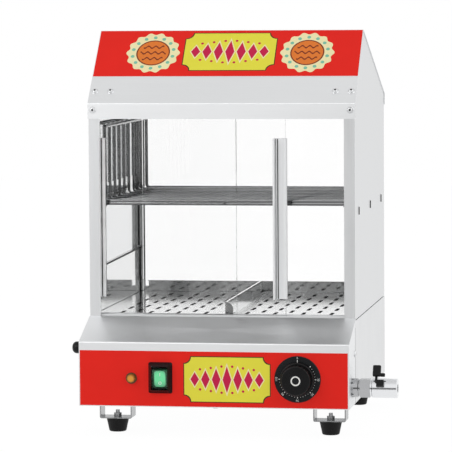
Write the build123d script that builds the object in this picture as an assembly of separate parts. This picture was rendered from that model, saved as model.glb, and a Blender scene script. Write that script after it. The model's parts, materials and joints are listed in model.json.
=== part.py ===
from build123d import *
import os
from math import atan2, cos, degrees, hypot, radians, sin, tan

os.makedirs("parts", exist_ok=True)

# Counter-top hot dog steamer: a sheet-steel base with a water tank, and a glazed cabinet on top.
# Millimetres. While modelling, X = 0 is the middle of the cabinet, Y = 0 the plane of its front
# posts and Z = 0 the table. save() moves every part so that the origin is the box's bottom centre.

# ---- driving dimensions -------------------------------------------------------------------
SHEET = 1.0               # stainless sheet
BEND = 1.5                # inside radius of visible bends
GLASS = 4.0

BASE_HALF = 200.0         # half width of the base
CABINET_HALF = 199.2      # half width of the side panels
HOOD_HALF = 200.4         # half width of the hood sheets
DEPTH = 380.0             # front posts to rear face
BOX_REACH = 80.0          # control box in front of the posts
BOX_END = -5.0            # seam between control box and base shell
BASE_BOTTOM = 49.4
BASE_TOP = 171.0
FRONT_BEND = 144.3        # front face turns into the slope
SLOPE_TOP = 174.2
RETURN = 12.0             # width of hidden return flanges
PANEL_BOTTOM = 172.0      # side panels stand on the tank rim
POST = 16.0               # width of the four corner posts

LIP_BOTTOM = 468.2
HOOD_BEND = 491.2
RIDGE_Y = 103.2
RIDGE_Z = 598.3
REAR_SLOPE_BOTTOM = 494.3
HOOD_HEM = 10.0
LIP_SCREW_X, LIP_SCREW_Z = 192.6, 481.5
SLOPE_SCREWS_X = (168.7, 192.4)
SLOPE_SCREW_UP = 24.6     # up the slope from the hood's lower bend
FILM_START = 54.8         # lower edge of the hood film, up the slope
FILM = 0.3
SLOPE_LENGTH = hypot(RIDGE_Y + SHEET, RIDGE_Z - HOOD_BEND)

TANK_X = 188.0
TANK_Y0 = 30.0
TANK_Y1 = 366.0
TANK_BOTTOM = 68.0
TANK_OUTLET_X = 166.0
ELEMENT_X = (-55.0, 15.0)
ELEMENT_Z = 84.0
BULB_X = 100.0
CROSS_RAIL_BOTTOM = 150.0

TRACK_Y0 = 3.0
TRACK_DEPTH = 25.0
TRACK_TOP = 176.4
FRONT_PANE_Y = 9.5        # middle of the front pane
REAR_PANE_Y = 21.5
PANE_BOTTOM = 174.7
PANE_TOP = 478.0
DOOR_WIDTH = 217.0
DOOR_STOP = 197.0         # a closed door's outer edge
RIGHT_DOOR_LEFT = -119.9  # the right door stands part open
HANDLE_WIDTH = 18.6
HANDLE_BOTTOM = 201.4
HANDLE_TOP = 439.0
FINGER_FLANGE = 14.0      # how far the right handle reaches forward

TRAY_TOP = 175.6
TRAY_BOTTOM = 173.0       # on the side panels' feet; the front and rear edges reach the rim
TRAY_X0, TRAY_X1 = 2.6, 194.6
TRAY_Y0, TRAY_Y1 = 28.6, 371.0
TRAY_SLOT = (5.4, 35.0)
TRAY_COLUMN = 21.2
TRAY_COLUMNS = 7
TRAY_ROW = 62.8
TRAY_ROWS = 5
FIRST_COLUMN = 31.0
FIRST_SLOT = (48.0, 76.0)  # even and odd columns
DIVIDER_TOP = 194.0
LINER_TOP = (242.8, 247.4)     # of the splash liners, at their front and at their rear
LINER_X = 196.0
RAIL_SHELF = 337.4
RAIL_BOTTOM = 322.0
RAIL_TOP = 366.0
HOOK_Y = (49.0, 192.0, 335.0)
HOOK_Z = 331.5

WIRE = 4.0                # basket cross wires
FRAME_WIRE = 5.0
BASKET_HALF = 182.2
BASKET_TOP = 455.6
BASKET_Y0 = 38.5
BASKET_PITCH = 36.5
BASKET_WIRES = 10
BASKET_BEND = 5.5

SILL_TOP = 193.4          # rear wall below the rear glass
SILL_HALF = 182.3         # the raised sill leaves a gap at each end
REAR_WINDOW_HALF = 187.4
REAR_WINDOW_FOOT = 184.1
GLASS_REAR = DEPTH - 2 * SHEET - 0.3

FRONT = -BOX_REACH
CHEEK_SCREW = (-16.0, 123.6)
SIDE_SCREW_Y = 180.0
REAR_SCREW_Y = 373.0
LAMP_X, LAMP_Z = -121.2, 91.5
ROCKER_X, ROCKER_Z = -78.2, 92.5
ROCKER_PIVOT_Y = -75.0
ROCKER_TILT = 7.0
BEZEL_DEPTH = 9.5
BEZEL_TAPER = 30.0
DIAL_X, DIAL_Z = 124.5, 93.0
DIAL_RADIUS = 34.0
KNOB_RADIUS = 25.0
KNOB_FACE = -102.0

DRAIN_Y, DRAIN_Z = -45.0, 77.5
VALVE_END = 267.0
VALVE_RADIUS = 14.3
OUTLET_RADIUS = 6.0       # socket for the drain hose nozzle
OUTLET_DEPTH = 12.0
STEM_X = 242.8
STEM_TILT = 30.0          # the stem leans this far up from straight forward
STEM_REACH = 18.2
STEM_FORWARD = (0, -cos(radians(STEM_TILT)), sin(radians(STEM_TILT)))

DAMPER_Y, DAMPER_Z = 45.0, 121.0
DAMPER_TIP = -236.5
BAFFLE_TOP = 113.0
SLOT_PITCH = 40.0         # steam slots in the baffle and the damper
SLOT_WIDTH = 16.0

FOOT_X = 161.0
FOOT_Y = (12.0, 351.0)
FOOT_HEIGHT = 20.5
FOOT_BOLT = 3.0           # radius

GLAND_X, GLAND_Z = -120.0, 63.0
GLAND_END = 398.0

X_MID = (DAMPER_TIP + VALVE_END) / 2
Y_MID = (KNOB_FACE + GLAND_END) / 2

EPS = 0.3                 # running clearance


# ---- helpers ------------------------------------------------------------------------------
def block(x0, x1, y0, y1, z0, z1):
    """An axis-aligned block between two corners."""
    centre = Pos((x0 + x1) / 2, (y0 + y1) / 2, (z0 + z1) / 2)
    return centre * Box(abs(x1 - x0), abs(y1 - y0), abs(z1 - z0))


def rod_x(x0, x1, y, z, radius):
    return Pos((x0 + x1) / 2, y, z) * Rot(0, 90, 0) * Cylinder(radius, x1 - x0)


def rod_y(x, y0, y1, z, radius):
    return Pos(x, (y0 + y1) / 2, z) * Rot(90, 0, 0) * Cylinder(radius, y1 - y0)


def rod_z(x, y, z0, z1, radius):
    return Pos(x, y, (z0 + z1) / 2) * Cylinder(radius, z1 - z0)


def hexagon_x(x0, x1, y, z, flats):
    face = Plane.YZ.offset(x0) * Pos(y, z) * RegularPolygon(flats / 2, 6, major_radius=False)
    return extrude(face, x1 - x0, dir=(1, 0, 0))


def round_corners(face, corners, radius):
    """Fillet the named corners of a flat face."""
    for corner in corners:
        nearest = face.vertices().sort_by_distance(Vector(corner[0], corner[1], 0))[0]
        face = fillet(nearest, radius)
    return face


def profile(points, rounded=(), radius=BEND):
    """A closed face; each entry of rounded is the index of a corner to fillet."""
    face = Polygon(*points, align=None)
    return round_corners(face, [points[i] for i in rounded], radius)


def raise_face(face, height):
    """A face drawn in (X, Y), extruded upward whatever way it was drawn."""
    return extrude(face, height, dir=(0, 0, 1))


def prism_x(face, x0, x1):
    """A face drawn in (Y, Z), extruded along X."""
    return extrude(Plane.YZ.offset(x0) * face, x1 - x0, dir=(1, 0, 0))


def offset_line(points, distance):
    """The mitred parallel of an open line; a positive distance is to its right."""
    moved = []
    for i, (y, z) in enumerate(points):
        normals = []
        for a, b in ((i - 1, i), (i, i + 1)):
            if a < 0 or b >= len(points):
                continue
            dy, dz = points[b][0] - points[a][0], points[b][1] - points[a][1]
            length = hypot(dy, dz)
            normals.append((dz / length, -dy / length))
        ny, nz = sum(n[0] for n in normals), sum(n[1] for n in normals)
        scale = distance * len(normals) / (ny * ny + nz * nz)
        moved.append((y + ny * scale, z + nz * scale))
    return moved


def folded_sheet(points, thickness=SHEET, bend=BEND):
    """The cross-section of one folded sheet; its outer face follows the points."""
    inner = offset_line(points, thickness)
    face = Polygon(*points, *reversed(inner), align=None)
    face = round_corners(face, points[1:-1], bend + thickness)
    return round_corners(face, inner[1:-1], bend)


def save(name, *solids):
    """Write one sub-part, moved so that the origin is the middle of the box's foot."""
    shape = solids[0] if len(solids) == 1 else Compound(children=list(solids))
    export_step(Pos(-X_MID, -Y_MID, 0) * shape, f"parts/{name}.step")


def mirrored(solid):
    return mirror(solid, about=Plane.YZ)


# ---- base ---------------------------------------------------------------------------------
def front_panel():
    """Folded control box: front face, slope, both cheeks and a lip behind the slope."""
    outer = [(-BOX_REACH, BASE_BOTTOM), (-BOX_REACH, FRONT_BEND), (0, SLOPE_TOP), (0, BASE_BOTTOM)]
    inner = [(-BOX_REACH + SHEET, BASE_BOTTOM + SHEET), (-BOX_REACH + SHEET, FRONT_BEND - 0.8),
             (-SHEET, SLOPE_TOP - 1.45), (-SHEET, BASE_BOTTOM + SHEET)]
    panel = prism_x(profile(outer, (1,), BEND + SHEET), -BASE_HALF, BASE_HALF)
    inside = BASE_HALF - SHEET
    panel -= prism_x(profile(inner, (1,)), -inside, inside)
    panel -= block(-inside, inside, RETURN - BOX_REACH, 1, BASE_BOTTOM - 1, BASE_BOTTOM + 2)
    panel -= block(-BASE_HALF - 1, BASE_HALF + 1, BOX_END - EPS, 1, BASE_BOTTOM - 1, 164.0)
    for side in (-1, 1):
        cheek = sorted((side * (inside - 0.5), side * (BASE_HALF + 1)))
        panel -= block(*cheek, BOX_END - EPS, 1, 160, BASE_TOP + 0.2)
    panel -= block(ROCKER_X - 15, ROCKER_X + 15, -90, -70, ROCKER_Z - 20, ROCKER_Z + 20)
    panel -= rod_y(LAMP_X, -90, -70, LAMP_Z, 5.1)
    panel -= rod_y(DIAL_X, -90, -70, DIAL_Z, 6.0)
    panel -= rod_x(190, 210, DRAIN_Y, DRAIN_Z, 8.1)
    panel -= rod_z(2, -72, 40, 60, 2.1)
    for side in (-1, 1):
        panel -= rod_x(side * 200 - 5, side * 200 + 5, CHEEK_SCREW[0], CHEEK_SCREW[1], 2.6)
    return panel


def base_shell():
    """Both sides and the rear of the base in one sheet, with return flanges."""
    half = BASE_HALF
    plan = profile([(-half, BOX_END), (-half, DEPTH), (half, DEPTH), (half, BOX_END)], (1, 2), 2.5)
    hollow = profile([(SHEET - half, -20), (SHEET - half, DEPTH - SHEET),
                      (half - SHEET, DEPTH - SHEET), (half - SHEET, -20)], (1, 2), BEND)
    flange = profile([(RETURN - half, -20), (RETURN - half, DEPTH - RETURN),
                      (half - RETURN, DEPTH - RETURN), (half - RETURN, -20)])
    height = BASE_TOP - BASE_BOTTOM
    shell = Pos(0, 0, BASE_BOTTOM) * raise_face(plan, height)
    shell -= Pos(0, 0, BASE_BOTTOM + SHEET) * raise_face(hollow, height - 2 * SHEET)
    shell -= Pos(0, 0, BASE_BOTTOM - 1) * raise_face(flange, height + 2)
    inside = half - SHEET
    shell -= block(-inside, inside, -20, TRACK_Y0 + RETURN, BASE_TOP - 2 * SHEET, BASE_TOP + 1)
    for side in (-1, 1):
        tab = sorted((side * (inside - SHEET), side * inside))
        shell += block(*tab, -28, 10, 100, 148)
        shell -= rod_x(side * 200 - 5, side * 200 + 5, CHEEK_SCREW[0], CHEEK_SCREW[1], 2.1)
        shell -= rod_z(side * (half - RETURN / 2), SIDE_SCREW_Y, 40, 60, 2.1)
    shell -= rod_z(2, REAR_SCREW_Y, 40, 60, 2.1)
    shell -= rod_x(-210, -190, DAMPER_Y, DAMPER_Z, 4.0)
    shell -= rod_y(GLAND_X, 370, 390, GLAND_Z, 8.1)
    return shell


def cross_rail():
    """Angle across the base that carries the front of the tank and the doors' track."""
    half, y0 = BASE_HALF - SHEET, TRACK_Y0 - 1
    rail = block(-half, half, y0, y0 + SHEET, CROSS_RAIL_BOTTOM, BASE_TOP)
    return rail + block(-half, half, y0, TRACK_Y0 + RETURN, BASE_TOP - SHEET, BASE_TOP)


def bottom_plate():
    z0 = BASE_BOTTOM + SHEET
    plate = block(-198.5, 198.5, -78.5, 378.5, z0, z0 + SHEET)
    plate -= rod_z(2, -72, 40, 60, 2.1)
    plate -= rod_z(2, REAR_SCREW_Y, 40, 60, 2.1)
    for side in (-1, 1):
        plate -= rod_z(side * (BASE_HALF - RETURN / 2), SIDE_SCREW_Y, 40, 60, 2.1)
    return plate


def pan_screw(radius, head, length):
    """A pan head on Z = 0 with its shank below it and a cross recess."""
    top = head * 0.55
    screw = Cylinder(radius, top, align=(Align.CENTER, Align.CENTER, Align.MIN))
    screw = fillet(screw.edges().sort_by(Axis.Z)[-1], top * 0.7)
    screw += rod_z(0, 0, -length, 0, head / 2)
    for turn in (0, 90):
        screw -= Pos(0, 0, top) * Rot(0, 0, turn) * Box(radius * 1.1, radius * 0.26, top * 0.9)
    return screw


def panel_screws():
    """Two cheek screws and four screws under the base."""
    screws = []
    for side in (-1, 1):
        turn = Rot(0, side * 90, 0)
        screws.append(Pos(side * BASE_HALF, *CHEEK_SCREW) * turn * pan_screw(5.0, 4.0, 6.0))
    for x, y in ((2, -72), (2, REAR_SCREW_Y), (-194, SIDE_SCREW_Y), (194, SIDE_SCREW_Y)):
        screws.append(Pos(x, y, BASE_BOTTOM) * Rot(180, 0, 0) * pan_screw(4.2, 4.0, 5.0))
    return screws


# ---- feet ---------------------------------------------------------------------------------
def foot_bracket():
    """A hat-shaped strap under the base, open to the front and the rear."""
    top = BASE_BOTTOM + SHEET
    thick, half, depth, wing = 1.5, 24.2, 16.0, 2.6
    under = top - thick
    points = [(-half - wing, top), (-half - wing, under), (-half, under), (-half, FOOT_HEIGHT),
              (half, FOOT_HEIGHT), (half, under), (half + wing, under), (half + wing, top),
              (half - thick, top), (half - thick, FOOT_HEIGHT + thick),
              (thick - half, FOOT_HEIGHT + thick), (thick - half, top)]
    face = profile(points, (3, 4), 2.5)
    strap = extrude(Plane.XZ.offset(-depth) * face, 2 * depth, dir=(0, -1, 0))
    return strap - rod_z(0, 0, 10, 30, FOOT_BOLT + 0.05)


def rubber_foot():
    cone = Cone(12.6, 17.0, FOOT_HEIGHT, align=(Align.CENTER, Align.CENTER, Align.MIN))
    cone = fillet(cone.edges().sort_by(Axis.Z)[0], 2.5)
    return cone - rod_z(0, 0, 8, 30, FOOT_BOLT + 0.05) - rod_z(0, 0, -1, 11, 6.5)


def foot_bolt():
    """Screw held in the rubber, and the nut that clamps it to the bracket."""
    screw = rod_z(0, 0, 11, 32, FOOT_BOLT) + rod_z(0, 0, 6.5, 11, 5.5)
    nut_z = FOOT_HEIGHT + 1.5
    nut = Pos(0, 0, nut_z) * extrude(RegularPolygon(5.0, 6, major_radius=False), 5.6)
    return screw, nut - rod_z(0, 0, 10, 40, FOOT_BOLT + 0.05)


def at_feet(solid):
    return [Pos(side * FOOT_X, y, 0) * solid for side in (-1, 1) for y in FOOT_Y]


# ---- water and steam ----------------------------------------------------------------------
def water_tank():
    """Open tank hung by its rim, with two ledges for the baffle."""
    rim_x, rim_y1 = 197.5, 377.5
    tank = block(-TANK_X, TANK_X, TANK_Y0, TANK_Y1, TANK_BOTTOM, PANEL_BOTTOM)
    tank += block(-rim_x, rim_x, TRACK_Y0 - 1, rim_y1, BASE_TOP, PANEL_BOTTOM)
    tank -= block(SHEET - TANK_X, TANK_X - SHEET, TANK_Y0 + SHEET, TANK_Y1 - SHEET,
                  TANK_BOTTOM + SHEET, PANEL_BOTTOM + 1)
    for side in (-1, 1):
        inner = side * (TANK_X - SHEET)
        tank += block(*sorted((inner, inner - side * 10)), TANK_Y0 + 20, TANK_Y1 - 20,
                      BAFFLE_TOP - 2 * SHEET, BAFFLE_TOP - SHEET)
    for x in ELEMENT_X:
        tank -= rod_y(x, 20, 40, ELEMENT_Z, 6.1)
    tank -= rod_y(BULB_X, 20, 40, ELEMENT_Z, 5.1)
    tank -= rod_y(TANK_OUTLET_X, 20, 40, DRAIN_Z, 5.5)
    tank -= rod_x(-195, -180, DAMPER_Y, DAMPER_Z, 3.3)
    return tank


def heating_element():
    """Two loops of heating tube joined at the back, with threaded ends through the tank wall."""
    radius, left, right = 4.0, ELEMENT_X[0], ELEMENT_X[1]
    back, near, wide = 300.0, 70.0, 75.0
    route = [(left, -8, ELEMENT_Z), (left, near, ELEMENT_Z), (left - wide, near, ELEMENT_Z),
             (left - wide, back, ELEMENT_Z), (left, back, ELEMENT_Z), (left, 110, ELEMENT_Z),
             (right, 110, ELEMENT_Z), (right, back, ELEMENT_Z), (right + wide, back, ELEMENT_Z),
             (right + wide, near, ELEMENT_Z), (right, near, ELEMENT_Z), (right, -8, ELEMENT_Z)]
    path = FilletPolyline(*route, radius=18)
    tube = sweep(Plane(origin=route[0], z_dir=(0, 1, 0)) * Circle(radius), path=path)
    for x in ELEMENT_X:
        tube += rod_y(x, 22, TANK_Y0 + 10, ELEMENT_Z, 6.0)
        tube += rod_y(x, TANK_Y0 + SHEET + 0.5, TANK_Y0 + 6, ELEMENT_Z, 9.0)
    return tube


def nut_y(x, y0, y1, z, flats, hole):
    face = Plane.XZ.offset(-y0) * Pos(x, z) * RegularPolygon(flats / 2, 6, major_radius=False)
    return extrude(face, y1 - y0, dir=(0, 1, 0)) - rod_y(x, y0 - 1, y1 + 1, z, hole)


def tank_fittings():
    """Lock nuts of the element ends and the gland of the thermostat bulb."""
    nuts = [nut_y(x, TANK_Y0 - 6, TANK_Y0, ELEMENT_Z, 19, 6.05) for x in ELEMENT_X]
    gland = nut_y(BULB_X, TANK_Y0 - 8, TANK_Y0, ELEMENT_Z, 17, 1.05)
    gland += rod_y(BULB_X, TANK_Y0, TANK_Y0 + 5, ELEMENT_Z, 5.0) - rod_y(BULB_X, 20, 40, ELEMENT_Z, 1.05)
    return nuts + [gland]


def steam_slots(first, count, y0, y1, z0, z1):
    return [block(first + SLOT_PITCH * i, first + SLOT_PITCH * i + SLOT_WIDTH, y0, y1, z0, z1)
            for i in range(count)]


def baffle_plate():
    """Fixed slotted plate over the water."""
    half = TANK_X - SHEET - 1
    plate = block(-half, half, TANK_Y0 + 3, TANK_Y1 - 3, BAFFLE_TOP - SHEET, BAFFLE_TOP)
    return plate - steam_slots(-148, 8, 70, 330, BAFFLE_TOP - 3, BAFFLE_TOP + 1)


def damper_plate():
    """Sliding slotted plate on the baffle; its upturned end takes the rod."""
    z0 = BAFFLE_TOP + EPS
    plate = block(-158, 160, 55, 345, z0, z0 + 1.5)
    plate -= steam_slots(-148, 7, 70, 330, z0 - 1, z0 + 3)
    plate += block(-158, -156.5, 34, 75, z0, 130)
    return plate - rod_x(-165, -150, DAMPER_Y, DAMPER_Z, 2.5)


def damper_rod():
    """Pull rod, shouldered where it is riveted to the plate."""
    return rod_x(-224, -158, DAMPER_Y, DAMPER_Z, 3.0) + rod_x(-158, -155, DAMPER_Y, DAMPER_Z, 2.45)


def damper_knob():
    """Round black pull knob with a narrow neck, turned about the rod's axis."""
    tip, root = DAMPER_TIP, DAMPER_TIP + 24
    outline = [(root, 0), (root, 6.5), (root - 6, 5.5), (root - 9, 9.1), (tip, 9.1), (tip, 0)]
    face = round_corners(Polygon(*outline, align=None), outline[3:4], 2.0)
    face = round_corners(face, outline[4:5], 7.0)
    knob = revolve(face, Axis.X)
    return Pos(0, DAMPER_Y, DAMPER_Z) * knob - rod_x(-224.05, -200, DAMPER_Y, DAMPER_Z, 3.02)


# ---- electrics ----------------------------------------------------------------------------
def control_film():
    """Printed film on the front face."""
    film = block(-198.5, 198.0, FRONT - FILM, FRONT, BASE_BOTTOM + 1.2, 131.7)
    film -= block(ROCKER_X - 15, ROCKER_X + 15, -90, -70, ROCKER_Z - 20, ROCKER_Z + 20)
    film -= rod_y(LAMP_X, -90, -70, LAMP_Z, 5.1)
    return film - rod_y(DIAL_X, -90, -70, DIAL_Z, 6.0)


def rocker_housing():
    """Snap-in switch body with its deep, sloping bezel."""
    front = FRONT - FILM
    base = Plane.XZ.offset(-front) * Pos(ROCKER_X, ROCKER_Z) * RectangleRounded(35.6, 46.0, 3.0)
    bezel = extrude(base, BEZEL_DEPTH, dir=(0, -1, 0), taper=BEZEL_TAPER)
    body = block(ROCKER_X - 14.6, ROCKER_X + 14.6, front - 1, -52, ROCKER_Z - 19.6, ROCKER_Z + 19.6)
    window = block(ROCKER_X - 11.4, ROCKER_X + 11.4, front - 11, -66, ROCKER_Z - 15, ROCKER_Z + 15)
    housing = bezel + body - window
    housing -= rod_x(ROCKER_X - 13.1, ROCKER_X + 13.1, ROCKER_PIVOT_Y, ROCKER_Z, 2.05)
    for z in (-12, 0, 12):
        housing += block(ROCKER_X - 3, ROCKER_X + 3, -52, -43, ROCKER_Z + z - 0.5, ROCKER_Z + z + 0.5)
    return housing


def rocker_button():
    """Rocking button on two trunnions, made level about its pivot and then tilted to rest."""
    half = 13.6
    face = profile([(-half, -4), (-half, 9.6), (0, 8.2), (half, 9.6), (half, -4), (0, -6)], (1, 3), 1.0)
    button = extrude(Plane.YZ * Rot(0, 0, 90) * face, 11.0, both=True) + rod_x(-13, 13, 0, 0, 2.0)
    return Pos(ROCKER_X, ROCKER_PIVOT_Y, ROCKER_Z) * Rot(ROCKER_TILT, 0, 0) * button


def rocker_cover():
    """Clear splash cover let on the bezel's front edge."""
    front = FRONT - FILM - BEZEL_DEPTH
    cover = block(ROCKER_X - 12.1, ROCKER_X + 12.1, front - 1.8, front, ROCKER_Z - 17.2, ROCKER_Z + 17.2)
    cover = fillet(cover.edges().filter_by(Axis.Y), 1.2)
    return fillet(cover.faces().sort_by(Axis.Y)[0].edges(), 0.9)


def pilot_lens():
    """Faceted amber lens with a flange."""
    front = FRONT - FILM
    lens = rod_y(LAMP_X, front - 1.6, front, LAMP_Z, 8.2)
    return lens + Pos(LAMP_X, front - 1.6, LAMP_Z) * Rot(90, 0, 0) * extrude(
        RegularPolygon(6.9, 8), 6.6, taper=8)


def pilot_body():
    """Lamp barrel behind the panel, its spring nut and two blades."""
    barrel = rod_y(LAMP_X, FRONT - FILM, -52, LAMP_Z, 5.0)
    barrel += rod_y(LAMP_X, FRONT + SHEET, FRONT + 5, LAMP_Z, 8.0)
    for x in (-2.5, 2.5):
        barrel += block(LAMP_X + x - 0.4, LAMP_X + x + 0.4, -52, -44, LAMP_Z - 2.4, LAMP_Z + 2.4)
    return barrel


def dial_ring():
    front = FRONT - FILM
    ring = rod_y(DIAL_X, front - 1.5, front, DIAL_Z, DIAL_RADIUS)
    ring = chamfer(ring.edges().sort_by(Axis.Y)[0], 0.6)
    return ring - rod_y(DIAL_X, -90, -70, DIAL_Z, 6.0)


def dial_knob():
    """Skirted knob with a raised grip bar and a blind bore for the shaft."""
    back = FRONT - FILM - 2.0
    skirt = rod_y(DIAL_X, back - 6, back, DIAL_Z, KNOB_RADIUS)
    skirt = fillet(skirt.edges().sort_by(Axis.Y)[0], 2.0)
    crown = rod_y(DIAL_X, KNOB_FACE, back - 5, DIAL_Z, KNOB_RADIUS - 3.5)
    crown = fillet(crown.edges().sort_by(Axis.Y)[0], 2.0)
    notch_count, notch_radius = 24, 1.0
    knob = skirt + crown
    rim = KNOB_RADIUS - 3.1
    for i in range(notch_count):
        angle = radians(360 / notch_count * i)
        x, z = DIAL_X + rim * cos(angle), DIAL_Z + rim * sin(angle)
        knob -= rod_y(x, KNOB_FACE - 1, back - 7, z, notch_radius)
    knob -= rod_y(DIAL_X, KNOB_FACE - 1, KNOB_FACE + 1.2, DIAL_Z, 9.2)
    knob -= rod_y(DIAL_X, KNOB_FACE + 6, back + 1, DIAL_Z, 3.0)
    return knob


def dial_cap():
    """Plain disc let into the knob's face."""
    cap = rod_y(DIAL_X, KNOB_FACE + 0.1, KNOB_FACE + 1.2, DIAL_Z, 9.15)
    return fillet(cap.edges().sort_by(Axis.Y)[0], 0.5)


def thermostat_shaft():
    return rod_y(DIAL_X, KNOB_FACE + 6, -68, DIAL_Z, 2.98)


def thermostat_body():
    """Capillary thermostat behind the panel, with three blades."""
    body = block(DIAL_X - 19, DIAL_X + 19, -68, -46, DIAL_Z - 19, DIAL_Z + 19)
    body += rod_y(DIAL_X, FRONT + SHEET, -67, DIAL_Z, 9.0)
    body -= rod_y(DIAL_X, -90, -67.5, DIAL_Z, 3.05)
    for x in (-10, 0, 10):
        body += block(DIAL_X + x - 0.4, DIAL_X + x + 0.4, -46, -37, DIAL_Z - 3, DIAL_Z + 3)
    return body


def thermostat_bulb():
    """Capillary running straight back from the thermostat, and its sensing bulb."""
    capillary = rod_y(BULB_X, -50, TANK_Y0 + 12, ELEMENT_Z, 1.0)
    return capillary + rod_y(BULB_X, TANK_Y0 + 12, TANK_Y0 + 92, ELEMENT_Z, 3.0)


def low_water_sensor():
    """Disc thermostat held against the underside of the tank."""
    disc = rod_z(-60, 160, TANK_BOTTOM - 9, TANK_BOTTOM, 8.0)
    for x in (-66, -54):
        disc += block(x - 3, x + 3, 159.6, 160.4, TANK_BOTTOM - 14, TANK_BOTTOM - 8)
    return disc


def terminal_block():
    """Four-way ceramic block on the base plate."""
    floor = BASE_BOTTOM + 2 * SHEET
    body = block(-180, -128, -30, -10, floor, floor + 16)
    return body - [rod_z(-173 + 13 * i, -20, floor + 6, floor + 20, 3.0) for i in range(4)]


def cord_gland():
    """Cable gland in the rear wall, with its bore for the supply cord."""
    hexagon = nut_y(GLAND_X, DEPTH, DEPTH + 6, GLAND_Z, 22, 4.0)
    dome = rod_y(GLAND_X, DEPTH + 6, GLAND_END, GLAND_Z, 10.0)
    dome = fillet(dome.edges().sort_by(Axis.Y)[-1], 5.0)
    thread = rod_y(GLAND_X, 371, DEPTH + 1, GLAND_Z, 8.0)
    lock = nut_y(GLAND_X, DEPTH - SHEET - 5, DEPTH - SHEET, GLAND_Z, 20, 4.0)
    return hexagon + dome + thread + lock - rod_y(GLAND_X, 360, 400, GLAND_Z, 4.0)


# ---- drain --------------------------------------------------------------------------------
def drain_pipe():
    """Pipe from the tank's front wall to the right cheek, with one bend and a threaded end."""
    route = [(TANK_OUTLET_X, TANK_Y0, DRAIN_Z), (TANK_OUTLET_X, DRAIN_Y, DRAIN_Z),
             (216, DRAIN_Y, DRAIN_Z)]
    path = FilletPolyline(*route, radius=14)
    start = Plane(origin=route[0], z_dir=(0, -1, 0))
    pipe = sweep(start * Circle(7.0), path=path) + rod_x(186, 216, DRAIN_Y, DRAIN_Z, 8.0)
    return pipe - sweep(start * Circle(5.0), path=path)


def drain_locknut():
    """Round castellated nut outside the cheek and a hexagon nut inside it."""
    outside = rod_x(BASE_HALF, BASE_HALF + 10.0, DRAIN_Y, DRAIN_Z, 13.9)
    outside = chamfer(outside.edges().sort_by(Axis.X)[-1], 0.8)
    notches, notch_half, notch_depth, notch_floor = 10, 2.7, 4.4, 10.4
    wedge = extrude(Polygon((-1, -notch_half), (notch_depth, 0), (-1, notch_half), align=None), 6)
    for i in range(notches):
        turn = Rot(360 / notches * (i + 0.5), 0, 0)
        outside -= Pos(BASE_HALF, DRAIN_Y, DRAIN_Z) * turn * Pos(0, 0, notch_floor) * wedge
    inside = hexagon_x(BASE_HALF - SHEET - 6, BASE_HALF - SHEET, DRAIN_Y, DRAIN_Z, 24)
    hole = rod_x(180, 230, DRAIN_Y, DRAIN_Z, 8.05)
    return outside - hole, inside - hole


def stem_frame(reach=0.0):
    """A frame on the stem: local Z runs forward along it, local Y points up the lever."""
    frame = Plane(origin=(STEM_X, DRAIN_Y, DRAIN_Z), x_dir=(1, 0, 0), z_dir=STEM_FORWARD)
    return frame.offset(reach)


def stem_axis(near, far, radius):
    """A rod along the stem, between two distances from the valve's axis."""
    return stem_frame() * rod_z(0, 0, near, far, radius)


def valve_body():
    """Ball valve: two grooves with a chamfered hexagon between them, and a plain round outlet."""
    neck = BASE_HALF + 10.3
    hex_start, hex_end, round_start, flats = neck + 2.0, neck + 17.0, neck + 19.3, 26.5
    body = rod_x(round_start, VALVE_END, DRAIN_Y, DRAIN_Z, VALVE_RADIUS)
    body = chamfer(body.edges(), 1.0)
    corners = rod_x(hex_start, hex_end, DRAIN_Y, DRAIN_Z, flats / 2 / cos(radians(30)))
    body += hexagon_x(hex_start, hex_end, DRAIN_Y, DRAIN_Z, flats) & chamfer(corners.edges(), 1.1)
    body += rod_x(neck, round_start + 1, DRAIN_Y, DRAIN_Z, 12.2)
    body -= rod_x(200, 218, DRAIN_Y, DRAIN_Z, 8.05)
    body -= rod_x(210, 280, DRAIN_Y, DRAIN_Z, 5.0)
    body -= rod_x(VALVE_END - OUTLET_DEPTH, VALVE_END + 1, DRAIN_Y, DRAIN_Z, OUTLET_RADIUS)
    body -= Pos(STEM_X, DRAIN_Y, DRAIN_Z) * Sphere(9.3)
    return body - stem_axis(0, 20, 3.05)


def valve_ball():
    """Ball with a cross bore, shown closed."""
    ball = Pos(STEM_X, DRAIN_Y, DRAIN_Z) * Sphere(9.0)
    return ball - stem_frame() * Rot(90, 0, 0) * Cylinder(5.0, 30)


def valve_stem():
    """Stem from the ball up through the body; the lever is pressed on its end."""
    return stem_axis(9.02, STEM_REACH, 3.0)


def valve_lever():
    """Black moulded lever: closed square boss, thin neck, grip and a small thumb lug."""
    under, face = 14.7, STEM_REACH + 1.8
    boss = block(-5.6, 5.2, -5.0, 5.0, under, face)
    neck = block(-8.0, -4.4, 3.4, 12.5, under, under + 2.4)
    grip = fillet(block(-11.6, 0.2, 11.2, 28.0, under, 21.0).edges(), 1.6)
    lug = fillet(block(-0.6, 6.4, 11.2, 16.0, under, 19.6).edges(), 1.2)
    return stem_frame() * (boss + neck + grip + lug) - stem_axis(10, STEM_REACH + 0.1, 3.02)


# ---- cabinet ------------------------------------------------------------------------------
HOOD_OUTER = [(-SHEET, LIP_BOTTOM), (-SHEET, HOOD_BEND), (RIDGE_Y, RIDGE_Z),
              (DEPTH + SHEET, REAR_SLOPE_BOTTOM)]
HOOD_INNER = offset_line(HOOD_OUTER, SHEET)
SLOPE_ANGLE = degrees(atan2(RIDGE_Z - HOOD_BEND, RIDGE_Y + SHEET))
REAR_ANGLE = degrees(atan2(RIDGE_Z - REAR_SLOPE_BOTTOM, DEPTH + SHEET - RIDGE_Y))


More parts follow.
